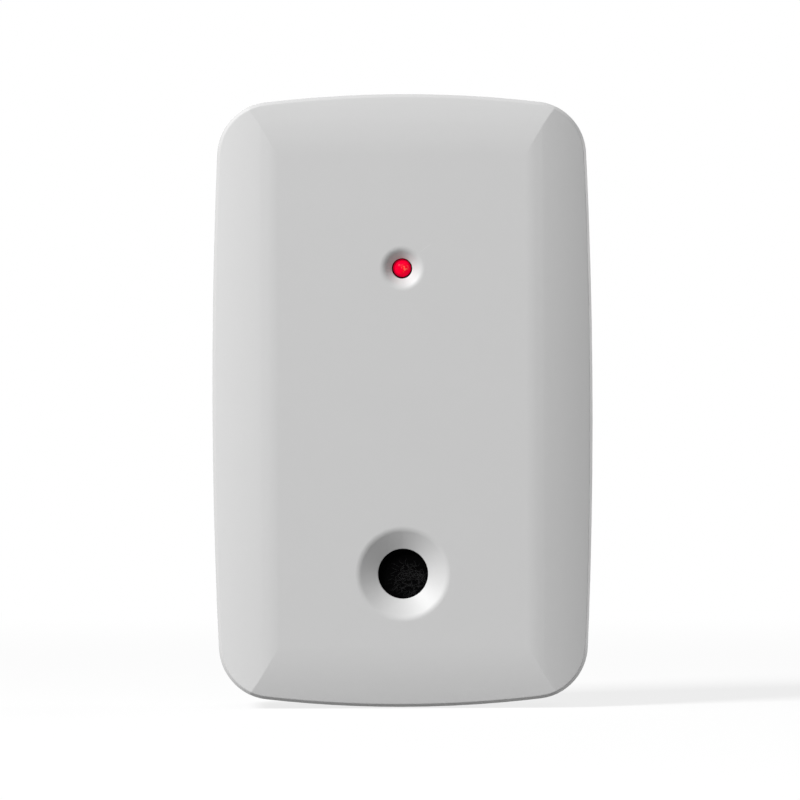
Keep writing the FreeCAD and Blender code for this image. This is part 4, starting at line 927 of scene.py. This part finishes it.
def add_strip(made: bmesh.types.BMesh, line: Sequence[Pair], width: float, rear: float,
              height: float) -> None:
    """Add a flat strip along a line on the board.

    Args:
        made: The mesh to add to.
        line: (x, z) points along its middle.
        width: Its width.
        rear: The y that it stands on.
        height: How far it stands up from there.
    """
    left, right = [], []
    for index, (x, z) in enumerate(line):
        before = Vector(line[max(index - 1, 0)])
        here = Vector((x, z))
        after = Vector(line[min(index + 1, len(line) - 1)])
        runs = [run.normalized() for run in (here - before, after - here) if run.length > 0]
        ahead = sum(runs, Vector((0.0, 0.0))).normalized()
        reach = width / 2 / max(ahead.dot(runs[0]), MITRE_LIMIT)
        left.append((x - ahead.y * reach, z + ahead.x * reach))
        right.append((x + ahead.y * reach, z - ahead.x * reach))
    outline = left + right[::-1]
    add_loft(made, [[(x, y, z) for x, z in outline] for y in (rear, rear - height)])


def solids(name: str) -> list[tuple[Vector, Vector]]:
    """Find the separate solids of a node.

    Args:
        name: The node's name.

    Returns:
        Lowest and highest corner of each, from left to right and from low to high.
    """
    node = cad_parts[name]
    made = bmesh.new()
    made.from_mesh(node.data)
    made.transform(node.matrix_world)
    bmesh.ops.remove_doubles(made, verts=made.verts, dist=WELD_DISTANCE)
    left = set(made.verts)
    boxes = []
    while left:
        found = [left.pop()]
        for vertex in found:
            for edge in vertex.link_edges:
                other = edge.other_vert(vertex)
                if other in left:
                    left.remove(other)
                    found.append(other)
        sides = [[vertex.co[axis] for vertex in found] for axis in range(3)]
        boxes.append((Vector([min(side) for side in sides]), Vector([max(side) for side in sides])))
    made.free()
    return sorted(boxes, key=lambda box: (round(box[0].x, SORTED_DIGITS), round(box[0].z, SORTED_DIGITS)))


def middle(low: Vector, high: Vector) -> Vector:
    """Middle of a box."""
    return (low + high) / 2


def rounded_end(length: float, radius: float, bend: float, steps: int = 4) -> list[Pair]:
    """Profile points of a rounded front edge.

    Args:
        length: Depth of the front face.
        radius: Radius behind the edge.
        bend: Radius of the rounding.
        steps: Points after the first.

    Returns:
        (depth, radius) pairs from the side to the front face.
    """
    turns = [math.pi / 2 * step / steps for step in range(steps + 1)]
    return [(length - bend + bend * math.sin(turn), radius - bend + bend * math.cos(turn)) for turn in turns]


@dataclass
class Microphone:
    """The capsule behind the sound port and the loose fibres on its felt; the grey fibres gather at the lower
    right as painted light.
    """

    seed: int = 7
    dark_fibres: int = 346
    grey_fibres_painted_light: int = 173
    fibre_radius: float = 0.013 * MM
    end_share: float = 0.55
    longest: float = 1.9 * MM
    shortest: float = 0.5 * MM
    curl: float = 2.4
    stand: float = 0.16 * MM
    least_stand: float = 0.2
    margin: float = 0.35 * MM
    # Painted light: the grey fibres gather round a point low and right of the felt's middle, where the lamp
    # reaches.
    painted_light_lean: Spot = (0.9 * MM, 0.0, -1.0 * MM)
    painted_light_reach: float = 2.7 * MM
    sides: int = 5
    steps: int = 7
    can_bend: float = 0.45 * MM
    crimp: float = 0.35 * MM
    round_sides: int = 64

    def build(self) -> None:
        """Scatter the fibres over the felt, then form the capsule."""
        low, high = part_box("microphone_felt")
        centre = middle(low, high)
        reach = (high.x - low.x) / 2 - self.margin
        draw = random.Random(self.seed)
        dark, grey_painted_light = bmesh.new(), bmesh.new()
        for _ in range(self.dark_fibres):
            self.fibre(dark, draw, centre, low.y, centre, reach, reach)
        for _ in range(self.grey_fibres_painted_light):
            self.fibre(grey_painted_light, draw, centre, low.y, centre + Vector(self.painted_light_lean), self.painted_light_reach, reach)
        mesh_piece("felt_fibres_dark", dark, FIBRE_DARK)
        mesh_piece("felt_fibres_grey_painted_light", grey_painted_light, FIBRE_GREY_PAINTED_LIGHT)
        self.can()

    def can(self) -> None:
        """Capsule with rounded front and crimped rear edge."""
        low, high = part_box("microphone_can")
        centre = middle(low, high)
        length, radius = high.y - low.y, (high.x - low.x) / 2
        made = bmesh.new()
        profile = [
            (0.0, radius - self.crimp * 2),
            (self.crimp / 2, radius - self.crimp),
            (self.crimp, radius),
        ]
        profile += rounded_end(length, radius, self.can_bend)
        add_turned(made, (centre.x, high.y, centre.z), profile, self.round_sides)
        mesh_piece("microphone_capsule", made, CAN, ["microphone_can"])

    def fibre(self, made: bmesh.types.BMesh, draw: random.Random, centre: Vector, front: float, about: Vector,
              spread: float, reach: float) -> None:
        """Add one curled fibre that lies on the felt.

        Args:
            made: The mesh to add to.
            draw: Source of the scatter.
            centre: Middle of the felt.
            front: The felt's front face along y.
            about: The point that the fibres gather round.
            spread: How far from that point a fibre may start.
            reach: How far from the felt's middle it may go.
        """
        away = spread * math.sqrt(draw.random())
        around = draw.uniform(0, 2 * math.pi)
        heading = draw.uniform(0, 2 * math.pi)
        bend = draw.uniform(-self.curl, self.curl)
        length = draw.uniform(self.shortest, self.longest)
        lift = draw.uniform(self.least_stand, 1.0) * self.stand
        point = Vector((about.x + away * math.cos(around), 0.0, about.z + away * math.sin(around)))
        line = []
        for step in range(self.steps):
            share = step / (self.steps - 1)
            off = Vector((point.x - centre.x, 0.0, point.z - centre.z))
            if off.length > reach:
                off *= reach / off.length
            rise = self.fibre_radius + lift * math.sin(math.pi * share)
            line.append(Vector((centre.x + off.x, front - rise, centre.z + off.z)))
            heading += bend / self.steps
            point += Vector((math.cos(heading), 0.0, math.sin(heading))) * length / self.steps
        tip = self.fibre_radius * self.end_share
        add_tube(made, line, [tip, *[self.fibre_radius] * (self.steps - 2), tip], self.sides)


@dataclass
class TamperSpring:
    """The round-wire coil under the tamper plunger."""

    wire: float = 0.3 * MM
    turns: float = 3.5
    sides: int = 12
    steps_per_turn: int = 36

    def build(self) -> None:
        """Wind the coil between its closed ends."""
        low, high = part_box("tamper_spring")
        centre = middle(low, high)
        radius = (high.x - low.x) / 2 - self.wire / 2
        rear, front = high.y - self.wire / 2, low.y + self.wire / 2
        steps = int(self.turns * self.steps_per_turn)
        line = []
        for step in range(steps + 1):
            share = step / steps
            angle = 2 * math.pi * self.turns * share
            y = rear + (front - rear) * share
            line.append(Vector((centre.x + radius * math.cos(angle), y, centre.z + radius * math.sin(angle))))
        made = bmesh.new()
        add_tube(made, line, [self.wire / 2] * len(line), self.sides)
        mesh_piece("tamper_coil", made, STEEL, ["tamper_spring"])


@dataclass
class Cover:
    """The front shell: its solid's own mesh, with both dimples sunk to their full moulded depth."""

    indicator_rim: float = 3.6 * MM
    indicator_floor: float = 1.2 * MM
    port_rim: float = 7.6 * MM
    port_floor: float = 1.45 * MM
    sink: float = 1.3

    def build(self) -> None:
        """Copy the solid's mesh, sink its dimples and turn their normals to suit."""
        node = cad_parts["front_cover"]
        mesh = node.data.copy()
        mesh.name = "cover_shell"
        mesh.transform(node.matrix_world)
        low, _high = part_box("front_cover")
        dimples = (
            (middle(*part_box("led_lens")), self.indicator_rim, self.indicator_floor),
            (middle(*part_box("microphone_felt")), self.port_rim, self.port_floor),
        )
        normals = [Vector(corner.vector) for corner in mesh.corner_normals]
        sunk = set()
        for vertex in mesh.vertices:
            below = vertex.co.y - low.y
            for centre, rim, floor in dimples:
                away = math.hypot(vertex.co.x - centre.x, vertex.co.z - centre.z)
                if away < rim and below < floor:
                    vertex.co.y = low.y + below * self.sink
                    sunk.add(vertex.index)
        for corner in mesh.loops:
            if corner.vertex_index in sunk:
                normal = normals[corner.index]
                normals[corner.index] = Vector((normal.x, normal.y / self.sink, normal.z)).normalized()
        mesh.normals_split_custom_set(normals)
        add_piece("cover_shell", mesh, CASE, Body.COVER, ["front_cover"])


@dataclass
class Indicator:
    """The domed red lens in the small dimple, flanged at its rear with one flat."""

    dome_diameter: float = 2.84 * MM
    raised: float = 0.07 * MM
    flange_diameter: float = 3.78 * MM
    flange_thickness: float = 1.0 * MM
    flange_round: float = 0.12 * MM
    flat_reach: float = 1.66 * MM
    dome_steps: int = 14
    sides: int = 64
    sharp_angle: float = 50.0

    def build(self) -> None:
        """Turn the lens and cut the flat."""
        low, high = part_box("led_lens")
        centre = middle(low, high)
        length = high.y - low.y
        radius, flange, bend = self.dome_diameter / 2, self.flange_diameter / 2, self.flange_round
        profile = [
            (0.0, flange - bend),
            (bend, flange),
            (self.flange_thickness - bend, flange),
            (self.flange_thickness, flange - bend),
            (self.flange_thickness + bend, radius),
        ]
        for step in range(self.dome_steps):
            angle = math.pi / 2 * step / self.dome_steps
            profile.append((length - radius + radius * math.sin(angle), radius * math.cos(angle)))
        made = bmesh.new()
        add_turned(made, (centre.x, high.y, centre.z + self.raised), profile, self.sides)
        for vertex in made.verts:
            if vertex.co.y > high.y - self.flange_thickness - bend / 2:
                vertex.co.x = min(vertex.co.x, centre.x + self.flat_reach)
        mesh_piece("indicator_lens", made, LENS, ["led_lens"], self.sharp_angle)


@dataclass
class Screws:
    """Slotted clamp screws of the terminals and cross-recessed screws of the board."""

    sides: int = 40
    edge: float = 0.25 * MM
    slot_length: float = 5.0 * MM
    slot_width: float = 0.7 * MM
    slot_depth: float = 0.8 * MM
    cross_length: float = 2.5 * MM
    cross_width: float = 0.62 * MM
    cross_depth: float = 0.9 * MM
    head_height: float = 1.7 * MM
    head_bend: float = 0.765 * MM
    head_steps: int = 6
    shank: float = 1.25 * MM
    tip_share: float = 0.6
    tip_length: float = 0.625 * MM
    tilts: tuple[float, ...] = (0.2, -0.5, 1.1, 0.0, 0.7, -0.9)

    def build(self) -> None:
        """Turn every head and cut its slot or cross."""
        self.terminal_heads()
        self.board_heads()

    def terminal_heads(self) -> None:
        """Six cheese heads, each left at its own angle."""
        made, cutter = bmesh.new(), bmesh.new()
        for (low, high), tilt in zip(solids("terminal_screws"), self.tilts):
            centre, radius = middle(low, high), (high.x - low.x) / 2
            profile = [(0.0, radius)] + rounded_end(high.y - low.y, radius, self.edge)
            add_turned(made, (centre.x, high.y, centre.z), profile, self.sides)
            groove = (self.slot_length, self.slot_depth, self.slot_width)
            self.bar(cutter, (centre.x, low.y, centre.z), groove, tilt)
        mesh_piece("terminal_screw_heads", made, STEEL, ["terminal_screws"], cutter=cutter)

    def board_heads(self) -> None:
        """Two pan heads on their shanks."""
        made, cutter = bmesh.new(), bmesh.new()
        for (low, high), tilt in zip(solids("board_screws"), self.tilts):
            centre, radius = middle(low, high), (high.x - low.x) / 2
            length = high.y - low.y
            under = length - self.head_height
            profile = [
                (0.0, self.shank * self.tip_share),
                (self.tip_length, self.shank),
                (under, self.shank),
                (under, radius),
            ]
            profile += rounded_end(length, radius, self.head_bend, self.head_steps)
            add_turned(made, (centre.x, high.y, centre.z), profile, self.sides)
            groove = (self.cross_length, self.cross_depth, self.cross_width)
            for turn in (tilt, tilt + math.pi / 2):
                self.bar(cutter, (centre.x, low.y, centre.z), groove, turn)
        mesh_piece("board_screw_heads", made, STEEL, ["board_screws"], cutter=cutter)

    def bar(self, made: bmesh.types.BMesh, front: Spot, groove: Spot, tilt: float) -> None:
        """Add a bar that cuts a groove into a head.

        Args:
            made: The mesh to add to.
            front: Middle of the head's front face.
            groove: Length, depth and width of the groove.
            tilt: Its angle in radians.
        """
        length, depth, width = groove
        before = len(made.verts)
        add_box(made, (0.0, 0.0, 0.0), (length, depth * 2, width))
        made.verts.ensure_lookup_table()
        turn = Matrix.Translation(front) @ Matrix.Rotation(tilt, 4, "Y")
        for vertex in made.verts[before:]:
            vertex.co = turn @ vertex.co


@dataclass
class Capacitors:
    """Sleeved cans with a crimp above the seal and a bare scored top."""

    sides: int = 56
    bend: float = 0.4 * MM
    crimp_rise: float = 1.3 * MM
    crimp: float = 0.25 * MM
    sleeve: float = 0.07 * MM
    sleeve_lap: float = 0.75 * MM
    score: float = 0.22 * MM
    score_depth: float = 0.14 * MM
    score_reach: float = 1.1
    recess: float = 0.03 * MM
    mouth_depth: float = 0.06 * MM
    stripe_share: float = 0.13
    stripe_steps: int = 6
    stripe_start: float = 1.5
    stripe_stand: float = 0.15

    def build(self) -> None:
        """Form the large can and both small ones."""
        self.cans("large_capacitor")
        self.cans("small_capacitors")

    def cans(self, name: str) -> None:
        """Turn the cans of one node, their sleeves and their stripes.

        Args:
            name: The node's name.
        """
        sleeves, tops, stripes, cutter = bmesh.new(), bmesh.new(), bmesh.new(), bmesh.new()
        for low, high in solids(name):
            centre = middle(low, high)
            length, radius = high.y - low.y, (high.x - low.x) / 2
            base = (centre.x, high.y, centre.z)
            outside = [
                (0.0, radius),
                (self.crimp_rise - self.crimp, radius),
                (self.crimp_rise, radius - self.crimp),
                (self.crimp_rise + self.crimp, radius),
            ]
            outside += rounded_end(length, radius, self.bend)
            mouth = radius - self.sleeve_lap
            outside += [(length, mouth), (length - self.mouth_depth, mouth)]
            add_turned(sleeves, base, outside, self.sides)
            add_turned(tops, base, [(length - self.bend, mouth), (length - self.recess, mouth)], self.sides)
            reach, depth = radius * self.score_reach, self.score_depth * 2
            for sides in ((reach, depth, self.score), (self.score, depth, reach)):
                add_box(cutter, (centre.x, low.y, centre.z), sides)
            self.stripe(stripes, base, radius, length)
        mesh_piece(name + "_sleeve", sleeves, SLEEVE, [name])
        mesh_piece(name + "_top", tops, CAN, cutter=cutter)
        mesh_piece(name + "_stripe", stripes, STRIPE)

    def stripe(self, made: bmesh.types.BMesh, base: Spot, radius: float, length: float) -> None:
        """Add the pale stripe down one side of the sleeve.

        Args:
            made: The mesh to add to.
            base: Middle of the can's rear face.
            radius: The can's radius.
            length: The can's length.
        """
        shares = [step / self.stripe_steps - 0.5 for step in range(self.stripe_steps + 1)]
        turns = [math.pi * (1 + self.stripe_share * share) for share in shares]
        outer, inner = radius + self.sleeve * self.stripe_stand, radius - self.sleeve
        around = [(outer, turn) for turn in turns] + [(inner, turn) for turn in turns[::-1]]
        rings = []
        for depth in (self.crimp_rise + self.crimp * self.stripe_start, length - self.bend):
            rings.append([
                (base[0] + reach * math.cos(turn), base[1] - depth, base[2] + reach * math.sin(turn))
                for reach, turn in around])
        add_loft(made, rings)


@dataclass
class MouldedParts:
    """Relay, chips, transistors, regulator and diodes as the moulded cases that they are."""

    corner: float = 0.12 * MM
    draft: float = 0.14 * MM
    parting: Pair = (0.45, 0.55)
    sharp_angle: float = 30.0
    relay_corner: float = 0.6 * MM
    relay_corner_steps: int = 4
    relay_bend: float = 0.5 * MM
    relay_vent: float = 0.45 * MM
    vent_inset: float = 2.2 * MM
    dot: float = 0.45 * MM
    dot_taper: float = 0.8
    dot_depth: float = 0.12 * MM
    dot_inset: float = 1.1 * MM
    round_sides: int = 24
    tab_wrap: float = 0.16 * MM
    tab_lap: float = 1.4
    tab_height: float = 1.1 * MM
    tab_width: float = 1.5 * MM
    foot_reach: float = 6.0

    def build(self) -> None:
        """Form each case in turn."""
        self.relay()
        for name, piece, dotted in (
            ("controller_chip", "controller_moulding", True),
            ("amplifier_chip", "amplifier_moulding", True),
            ("transistors", "transistor_mouldings", False),
            ("voltage_regulator", "regulator_moulding", False),
            ("surge_diodes", "diode_mouldings", False),
        ):
            self.mouldings(name, piece, dotted)
        self.diode_tabs()

    def relay(self) -> None:
        """Relay case with rounded edges and its vent."""
        low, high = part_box("alarm_relay")
        made, cutter = bmesh.new(), bmesh.new()
        edge = rounded_end(high.y - low.y, 0.0, self.relay_bend)
        layers = [(0.0, 0.0)] + [(depth, -radius) for depth, radius in edge]
        add_case(made, low, high, layers, self.relay_corner, self.relay_corner_steps)
        vent = [(-self.relay_vent, self.relay_vent), (self.relay_vent, self.relay_vent)]
        spot = (high.x - self.vent_inset, low.y, high.z - self.vent_inset)
        add_turned(cutter, spot, vent, self.round_sides)
        mesh_piece("relay_case", made, CREAM, ["alarm_relay"], cutter=cutter)

    def mouldings(self, name: str, piece: str, dotted: bool) -> None:
        """Cases that narrow to both faces from their parting line.

        Args:
            name: The node that they stand for.
            piece: Name of the new piece.
            dotted: Whether a small dimple marks the first lead.
        """
        made, cutter = bmesh.new(), bmesh.new() if dotted else None
        dot = [(-self.dot_depth, self.dot * self.dot_taper), (self.dot_depth, self.dot)]
        for low, high in solids(name):
            height = high.y - low.y
            band = [(height * share, 0.0) for share in self.parting]
            add_case(made, low, high, [(0.0, self.draft), *band, (height, self.draft)], self.corner)
            if cutter is not None:
                spot = (low.x + self.dot_inset, low.y, low.z + self.dot_inset)
                add_turned(cutter, spot, dot, self.round_sides)
        mesh_piece(piece, made, EPOXY, [name], self.sharp_angle, cutter)

    def diode_tabs(self) -> None:
        """Tinned tabs that wrap round the diodes' ends and turn in under them."""
        made = bmesh.new()
        upright = (self.tab_wrap * self.tab_lap, self.tab_height, self.tab_width)
        foot = (self.tab_wrap * self.foot_reach, self.tab_wrap, self.tab_width)
        for low, high in solids("surge_diodes"):
            centre = middle(low, high)
            for side in (low.x, high.x):
                inward = math.copysign(self.tab_wrap / 2, centre.x - side)
                add_box(made, (side + inward, high.y - self.tab_height / 2, centre.z), upright)
                under = side + inward * (self.foot_reach - 1)
                add_box(made, (under, high.y - self.tab_wrap / 2, centre.z), foot)
        mesh_piece("diode_tabs", made, TIN)


@dataclass
class BoardDetail:
    """Tracks, pads, printed outlines and solder on the circuit board."""

    front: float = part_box("circuit_board")[0].y
    rear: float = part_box("circuit_board")[1].y
    track: float = 0.28 * MM
    track_height: float = 0.03 * MM
    track_start: float = 0.4 * MM
    controller_reach: float = 15.5 * MM
    amplifier_reach: float = 9.0 * MM
    shortest_run: float = 0.55
    run_growth: float = 0.07
    bus_step: float = 0.55 * MM
    first_bus: float = 1.6
    bus_bend: float = 0.495 * MM
    via: float = 0.38 * MM
    pad_radius: float = 0.646 * MM
    pad_height: float = 0.048 * MM
    pad_profile: tuple[Pair, ...] = ((0.0, 1.0), (1.0, 0.94), (1.0, 0.5), (0.3, 0.4))
    pad_spots: tuple[Pair, ...] = (
        (-21.5, 27.5), (21.5, -4.0), (21.5, -6.6), (21.5, -9.2), (-6.0, -33.5), (6.0, -33.5),
        (-19.5, -24.5), (19.5, -31.0), (9.0, 5.8), (-4.0, 24.0), (0.0, 24.0), (4.0, 24.0))
    legend: float = 0.16 * MM
    legend_height: float = 0.02 * MM
    legend_gap: float = 0.45 * MM
    resistor_gap: float = 0.225 * MM
    round_gap: float = 0.99 * MM
    round_steps: int = 48
    toe_inset: float = 0.15 * MM
    toe_spread: float = 0.75
    toe_length: float = 0.45 * MM
    toe_height: float = 0.26 * MM
    end_length: float = 0.32 * MM
    end_height: float = 0.34 * MM
    mound_steps: int = 5
    mound_sides: int = 14
    joint: float = 0.85 * MM
    joint_height: float = 0.75 * MM
    joint_top: float = 0.12 * MM
    joint_steps: int = 5
    sides: int = 20

    def build(self) -> None:
        """Lay everything on both faces of the board."""
        self.tracks()
        self.outlines()
        self.surface_solder()
        self.rear_joints()

    def tracks(self) -> None:
        """Nested tracks that fan out from each row of chip leads and end in vias, and lone pads."""
        made, pads = bmesh.new(), bmesh.new()
        for name, reach in (("controller_leads", self.controller_reach),
                            ("amplifier_leads", self.amplifier_reach)):
            low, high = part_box(name)
            centre = middle(low, high)
            leads = [middle(*lead) for lead in solids(name)]
            for side, edge in ((1, high.z), (-1, low.z)):
                places = [lead.x for lead in leads if (lead.z > centre.z) == (side > 0)]
                for index, x in enumerate(places):
                    rank = min(index, len(places) - 1 - index)
                    away = -1 if index < len(places) / 2 else 1
                    level = edge + side * self.bus_step * (rank + self.first_bus)
                    end = centre.x + reach * (self.shortest_run + self.run_growth * rank) * away
                    line = [
                        (x, edge - side * self.track_start),
                        (x, level - side * self.bus_bend),
                        (x + away * self.bus_bend, level),
                        (end, level),
                    ]
                    if (end - line[-2][0]) * away > self.bus_bend:
                        add_strip(made, line, self.track, self.front, self.track_height)
                        self.pad(pads, line[-1], self.via)
        for across, up in self.pad_spots:
            self.pad(pads, (across * MM, up * MM), self.pad_radius)
        mesh_piece("board_tracks", made, TRACK)
        mesh_piece("board_pads", pads, TIN)

    def pad(self, made: bmesh.types.BMesh, spot: Pair, radius: float) -> None:
        """Add one round pad with a drilled middle.

        Args:
            made: The mesh to add to.
            spot: Its middle on the board.
            radius: Its radius.
        """
        profile = [(self.pad_height * up, radius * out) for up, out in self.pad_profile]
        add_turned(made, (spot[0], self.front, spot[1]), profile, self.sides)

    def outline(self, made: bmesh.types.BMesh, line: Sequence[Pair]) -> None:
        """Print straight strokes from point to point on the front of the board.

        Args:
            made: The mesh to add to.
            line: (x, z) points in order.
        """
        for stroke in zip(line, line[1:]):
            add_strip(made, stroke, self.legend, self.front, self.legend_height)

    def outlines(self) -> None:
        """White printed outlines round the parts."""
        made = bmesh.new()
        for name in ("alarm_relay", "controller_chip", "amplifier_chip", "jumper_header", "surge_diodes",
                     "transistors", "voltage_regulator", "tamper_switch_body", "terminal_block",
                     "chip_resistors"):
            gap = self.resistor_gap if name == "chip_resistors" else self.legend_gap
            for low, high in solids(name):
                west, east, south, north = low.x - gap, high.x + gap, low.z - gap, high.z + gap
                corners = [(west, south), (east, south), (east, north), (west, north)]
                self.outline(made, corners + corners[:1])
        turns = circle(self.round_steps)
        for name in ("large_capacitor", "small_capacitors", "led_lens", "microphone_can"):
            for low, high in solids(name):
                centre, radius = middle(low, high), (high.x - low.x) / 2 + self.round_gap
                self.outline(made, [
                    (centre.x + radius * math.cos(turn), centre.z + radius * math.sin(turn))
                    for turn in turns + turns[:1]])
        mesh_piece("board_outlines", made, LEGEND)

    def surface_solder(self) -> None:
        """Small mounds of solder at the feet of the surface parts."""
        made = bmesh.new()
        for name in ("controller_leads", "amplifier_leads", "transistor_leads", "regulator_tab"):
            centre = middle(*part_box(name))
            for low, high in solids(name):
                foot, spread = middle(low, high), (high.x - low.x) * self.toe_spread
                toe = high.z - self.toe_inset if foot.z > centre.z else low.z + self.toe_inset
                self.mound(made, (foot.x, toe), spread, self.toe_length, self.toe_height)
        for name in ("chip_resistors", "chip_capacitors"):
            for low, high in solids(name):
                foot, spread = middle(low, high), (high.x - low.x) / 2
                for z in (low.z, high.z):
                    self.mound(made, (foot.x, z), spread, self.end_length, self.end_height)
        mesh_piece("surface_solder", made, SOLDER)

    def mound(self, made: bmesh.types.BMesh, spot: Pair, half_x: float, half_z: float,
              height: float) -> None:
        """Add one low rounded mound.

        Args:
            made: The mesh to add to.
            spot: Its middle on the board.
            half_x: Half its width.
            half_z: Half its length.
            height: How far it stands up.
        """
        rings = []
        for step in range(self.mound_steps):
            turn = math.pi / 2 * step / self.mound_steps
            wide, long = half_x * math.cos(turn), half_z * math.cos(turn)
            y = self.front - height * math.sin(turn)
            rings.append([
                (spot[0] + wide * math.cos(around), y, spot[1] + long * math.sin(around))
                for around in circle(self.mound_sides)])
        add_loft(made, rings)

    def rear_joints(self) -> None:
        """Solder cones round every lead tail behind the board."""
        made = bmesh.new()
        shares = [1 - step / self.joint_steps for step in range(self.joint_steps + 1)]
        for name in ("led_leads", "microphone_pins", "tamper_switch_pins", "terminal_pins", "relay_pins",
                     "capacitor_leads", "crystal_pins", "jumper_pins"):
            for low, high in solids(name):
                spot, half = middle(low, high), (high.x - low.x) / 2
                top, flare = half + self.joint_top, self.joint - half
                profile = [(-self.joint_height * share, flare * (1 - share) ** 2 + top) for share in shares]
                add_turned(made, (spot.x, self.rear, spot.z), profile, self.sides)
        mesh_piece("solder_joints", made, SOLDER)


@dataclass
class Housing:
    """All the solids of the frame, each dressed in its finish."""

    def build(self) -> None:
        """Give every node its finish."""
        for name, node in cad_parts.items():
            for slot in node.material_slots:
                slot.material = NODE_FINISHES[name].material()
            log.info("%s dressed in %s", name, NODE_FINISHES[name].name)


@dataclass
class Studio:
    """Floor, white surroundings, lamps and the camera of the photograph."""

    floor_side: float = 12.0
    floor_parts: int = 8
    floor_roughness: float = 0.9
    floor_colour: Colour = (0.92, 0.92, 0.92)
    floor_bounce: Colour = (0.3, 0.3, 0.3)
    floor_white: float = 0.8
    shadow_reach: float = 0.16
    white_reach: float = 0.5
    ambient: float = 0.2
    key_power: float = 75.0
    key_size: float = 0.8
    key_from: Spot = (-1.39, -1.32, 1.45)
    rim_power: float = 14.0
    rim_size: float = 0.5
    rim_from: Spot = (1.55, 0.5, 0.1)
    camera_distance: float = 1.2
    pixels_per_metre: float = 6340.0
    front_depth: float = 20.0 * MM
    photo_centre: Pair = (402.5, 400.5)
    roll: float = 0.2

    def build(self) -> None:
        """Set everything up round the sensor."""
        self.floor()
        self.surroundings()
        self.lamp("key_lamp", self.key_power, self.key_size, self.key_from)
        self.lamp("rim_lamp", self.rim_power, self.rim_size, self.rim_from)
        self.camera()

    def white_rays(self, shader: Shader) -> Term:
        """Pick out the rays that see the background: straight, by reflection or through glass.

        Args:
            shader: The shader that asks.

        Returns:
            1 for those rays, else 0.
        """
        path = shader.node("ShaderNodeLightPath", {}, {})
        seen = Term(shader, path.outputs["Is Camera Ray"])
        for name in ("Is Glossy Ray", "Is Transmission Ray"):
            seen = seen.most(Term(shader, path.outputs[name]))
        return seen

    def floor(self) -> None:
        """Pale floor that the sensor stands on; it keeps the sensor's shadow."""
        low, _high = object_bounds()
        made = bmesh.new()
        bmesh.ops.create_grid(made, x_segments=self.floor_parts, y_segments=self.floor_parts,
                              size=self.floor_side / 2, matrix=Matrix.Translation((0.0, 0.0, low.z)))
        mesh = bpy.data.meshes.new("floor")
        made.to_mesh(mesh)
        made.free()
        board = bpy.data.objects.new("floor", mesh)
        bpy.context.scene.collection.objects.link(board)
        material = bpy.data.materials.new("floor_paint")
        shader = Shader(material)
        seen = self.white_rays(shader)
        tone = shader.mix(seen, self.floor_bounce, self.floor_colour)
        paint = shader.principled({
            "Base Color": tone, "Roughness": self.floor_roughness, "Specular IOR Level": 0.0})
        white = shader.node("ShaderNodeEmission", {}, {"Color": PURE_WHITE, "Strength": 1.0})
        off = shader.place().length()
        away = shader.ease(off, self.shadow_reach, self.white_reach, self.floor_white)
        both = {0: seen * away, 1: paint.outputs[0], 2: white.outputs[0]}
        shader.finish(shader.node("ShaderNodeMixShader", {}, both).outputs[0])
        mesh.materials.append(material)
        board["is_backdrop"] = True

    def surroundings(self) -> None:
        """White to the eye, and an even low light on the sensor."""
        world = bpy.data.worlds.new("studio")
        bpy.context.scene.world = world
        shader = Shader(world)
        strength = self.white_rays(shader) * (1.0 - self.ambient) + self.ambient
        light = shader.node("ShaderNodeBackground", {}, {"Color": PURE_WHITE, "Strength": strength})
        shader.finish(light.outputs[0], "ShaderNodeOutputWorld")

    def lamp(self, name: str, power: float, size: float, place: Spot) -> None:
        """Add one soft square lamp that faces the sensor.

        Args:
            name: The lamp's name.
            power: Its power in watts.
            size: Its side in metres.
            place: Where it stands.
        """
        data = bpy.data.lights.new(name, "AREA")
        data.energy = power
        data.size = size
        lamp = bpy.data.objects.new(name, data)
        lamp.location = place
        lamp.rotation_euler = (-Vector(place)).to_track_quat("-Z", "Y").to_euler()
        lamp.visible_camera = False
        bpy.context.scene.collection.objects.link(lamp)

    def camera(self) -> None:
        """Straight in front, as far away and as tightly framed as in the photograph."""
        data = bpy.data.cameras.new("camera")
        data.sensor_width = SENSOR_WIDTH
        reach = self.camera_distance - self.front_depth
        data.lens = self.pixels_per_metre * reach / PHOTO_SIDE * SENSOR_WIDTH
        eye = bpy.data.objects.new("camera", data)
        across = (PHOTO_SIDE / 2 - self.photo_centre[0]) / self.pixels_per_metre
        up = (self.photo_centre[1] - PHOTO_SIDE / 2) / self.pixels_per_metre
        eye.location = (across, -self.camera_distance, up)
        eye.rotation_euler = (math.pi / 2, math.radians(self.roll), 0.0)
        bpy.context.scene.collection.objects.link(eye)
        bpy.context.scene.camera = eye


def main() -> None:
    """Build and dress the sensor, then the studio round it."""
    logging.basicConfig(level=logging.INFO, format="%(message)s")
    bpy.context.scene.view_settings.view_transform = "Standard"
    for assembly in (Housing(), Cover(), Indicator(), Microphone(), TamperSpring(), Screws(), Capacitors(),
                     MouldedParts(), BoardDetail(), Studio()):
        assembly.build()


if __name__ == "__main__":
    main()
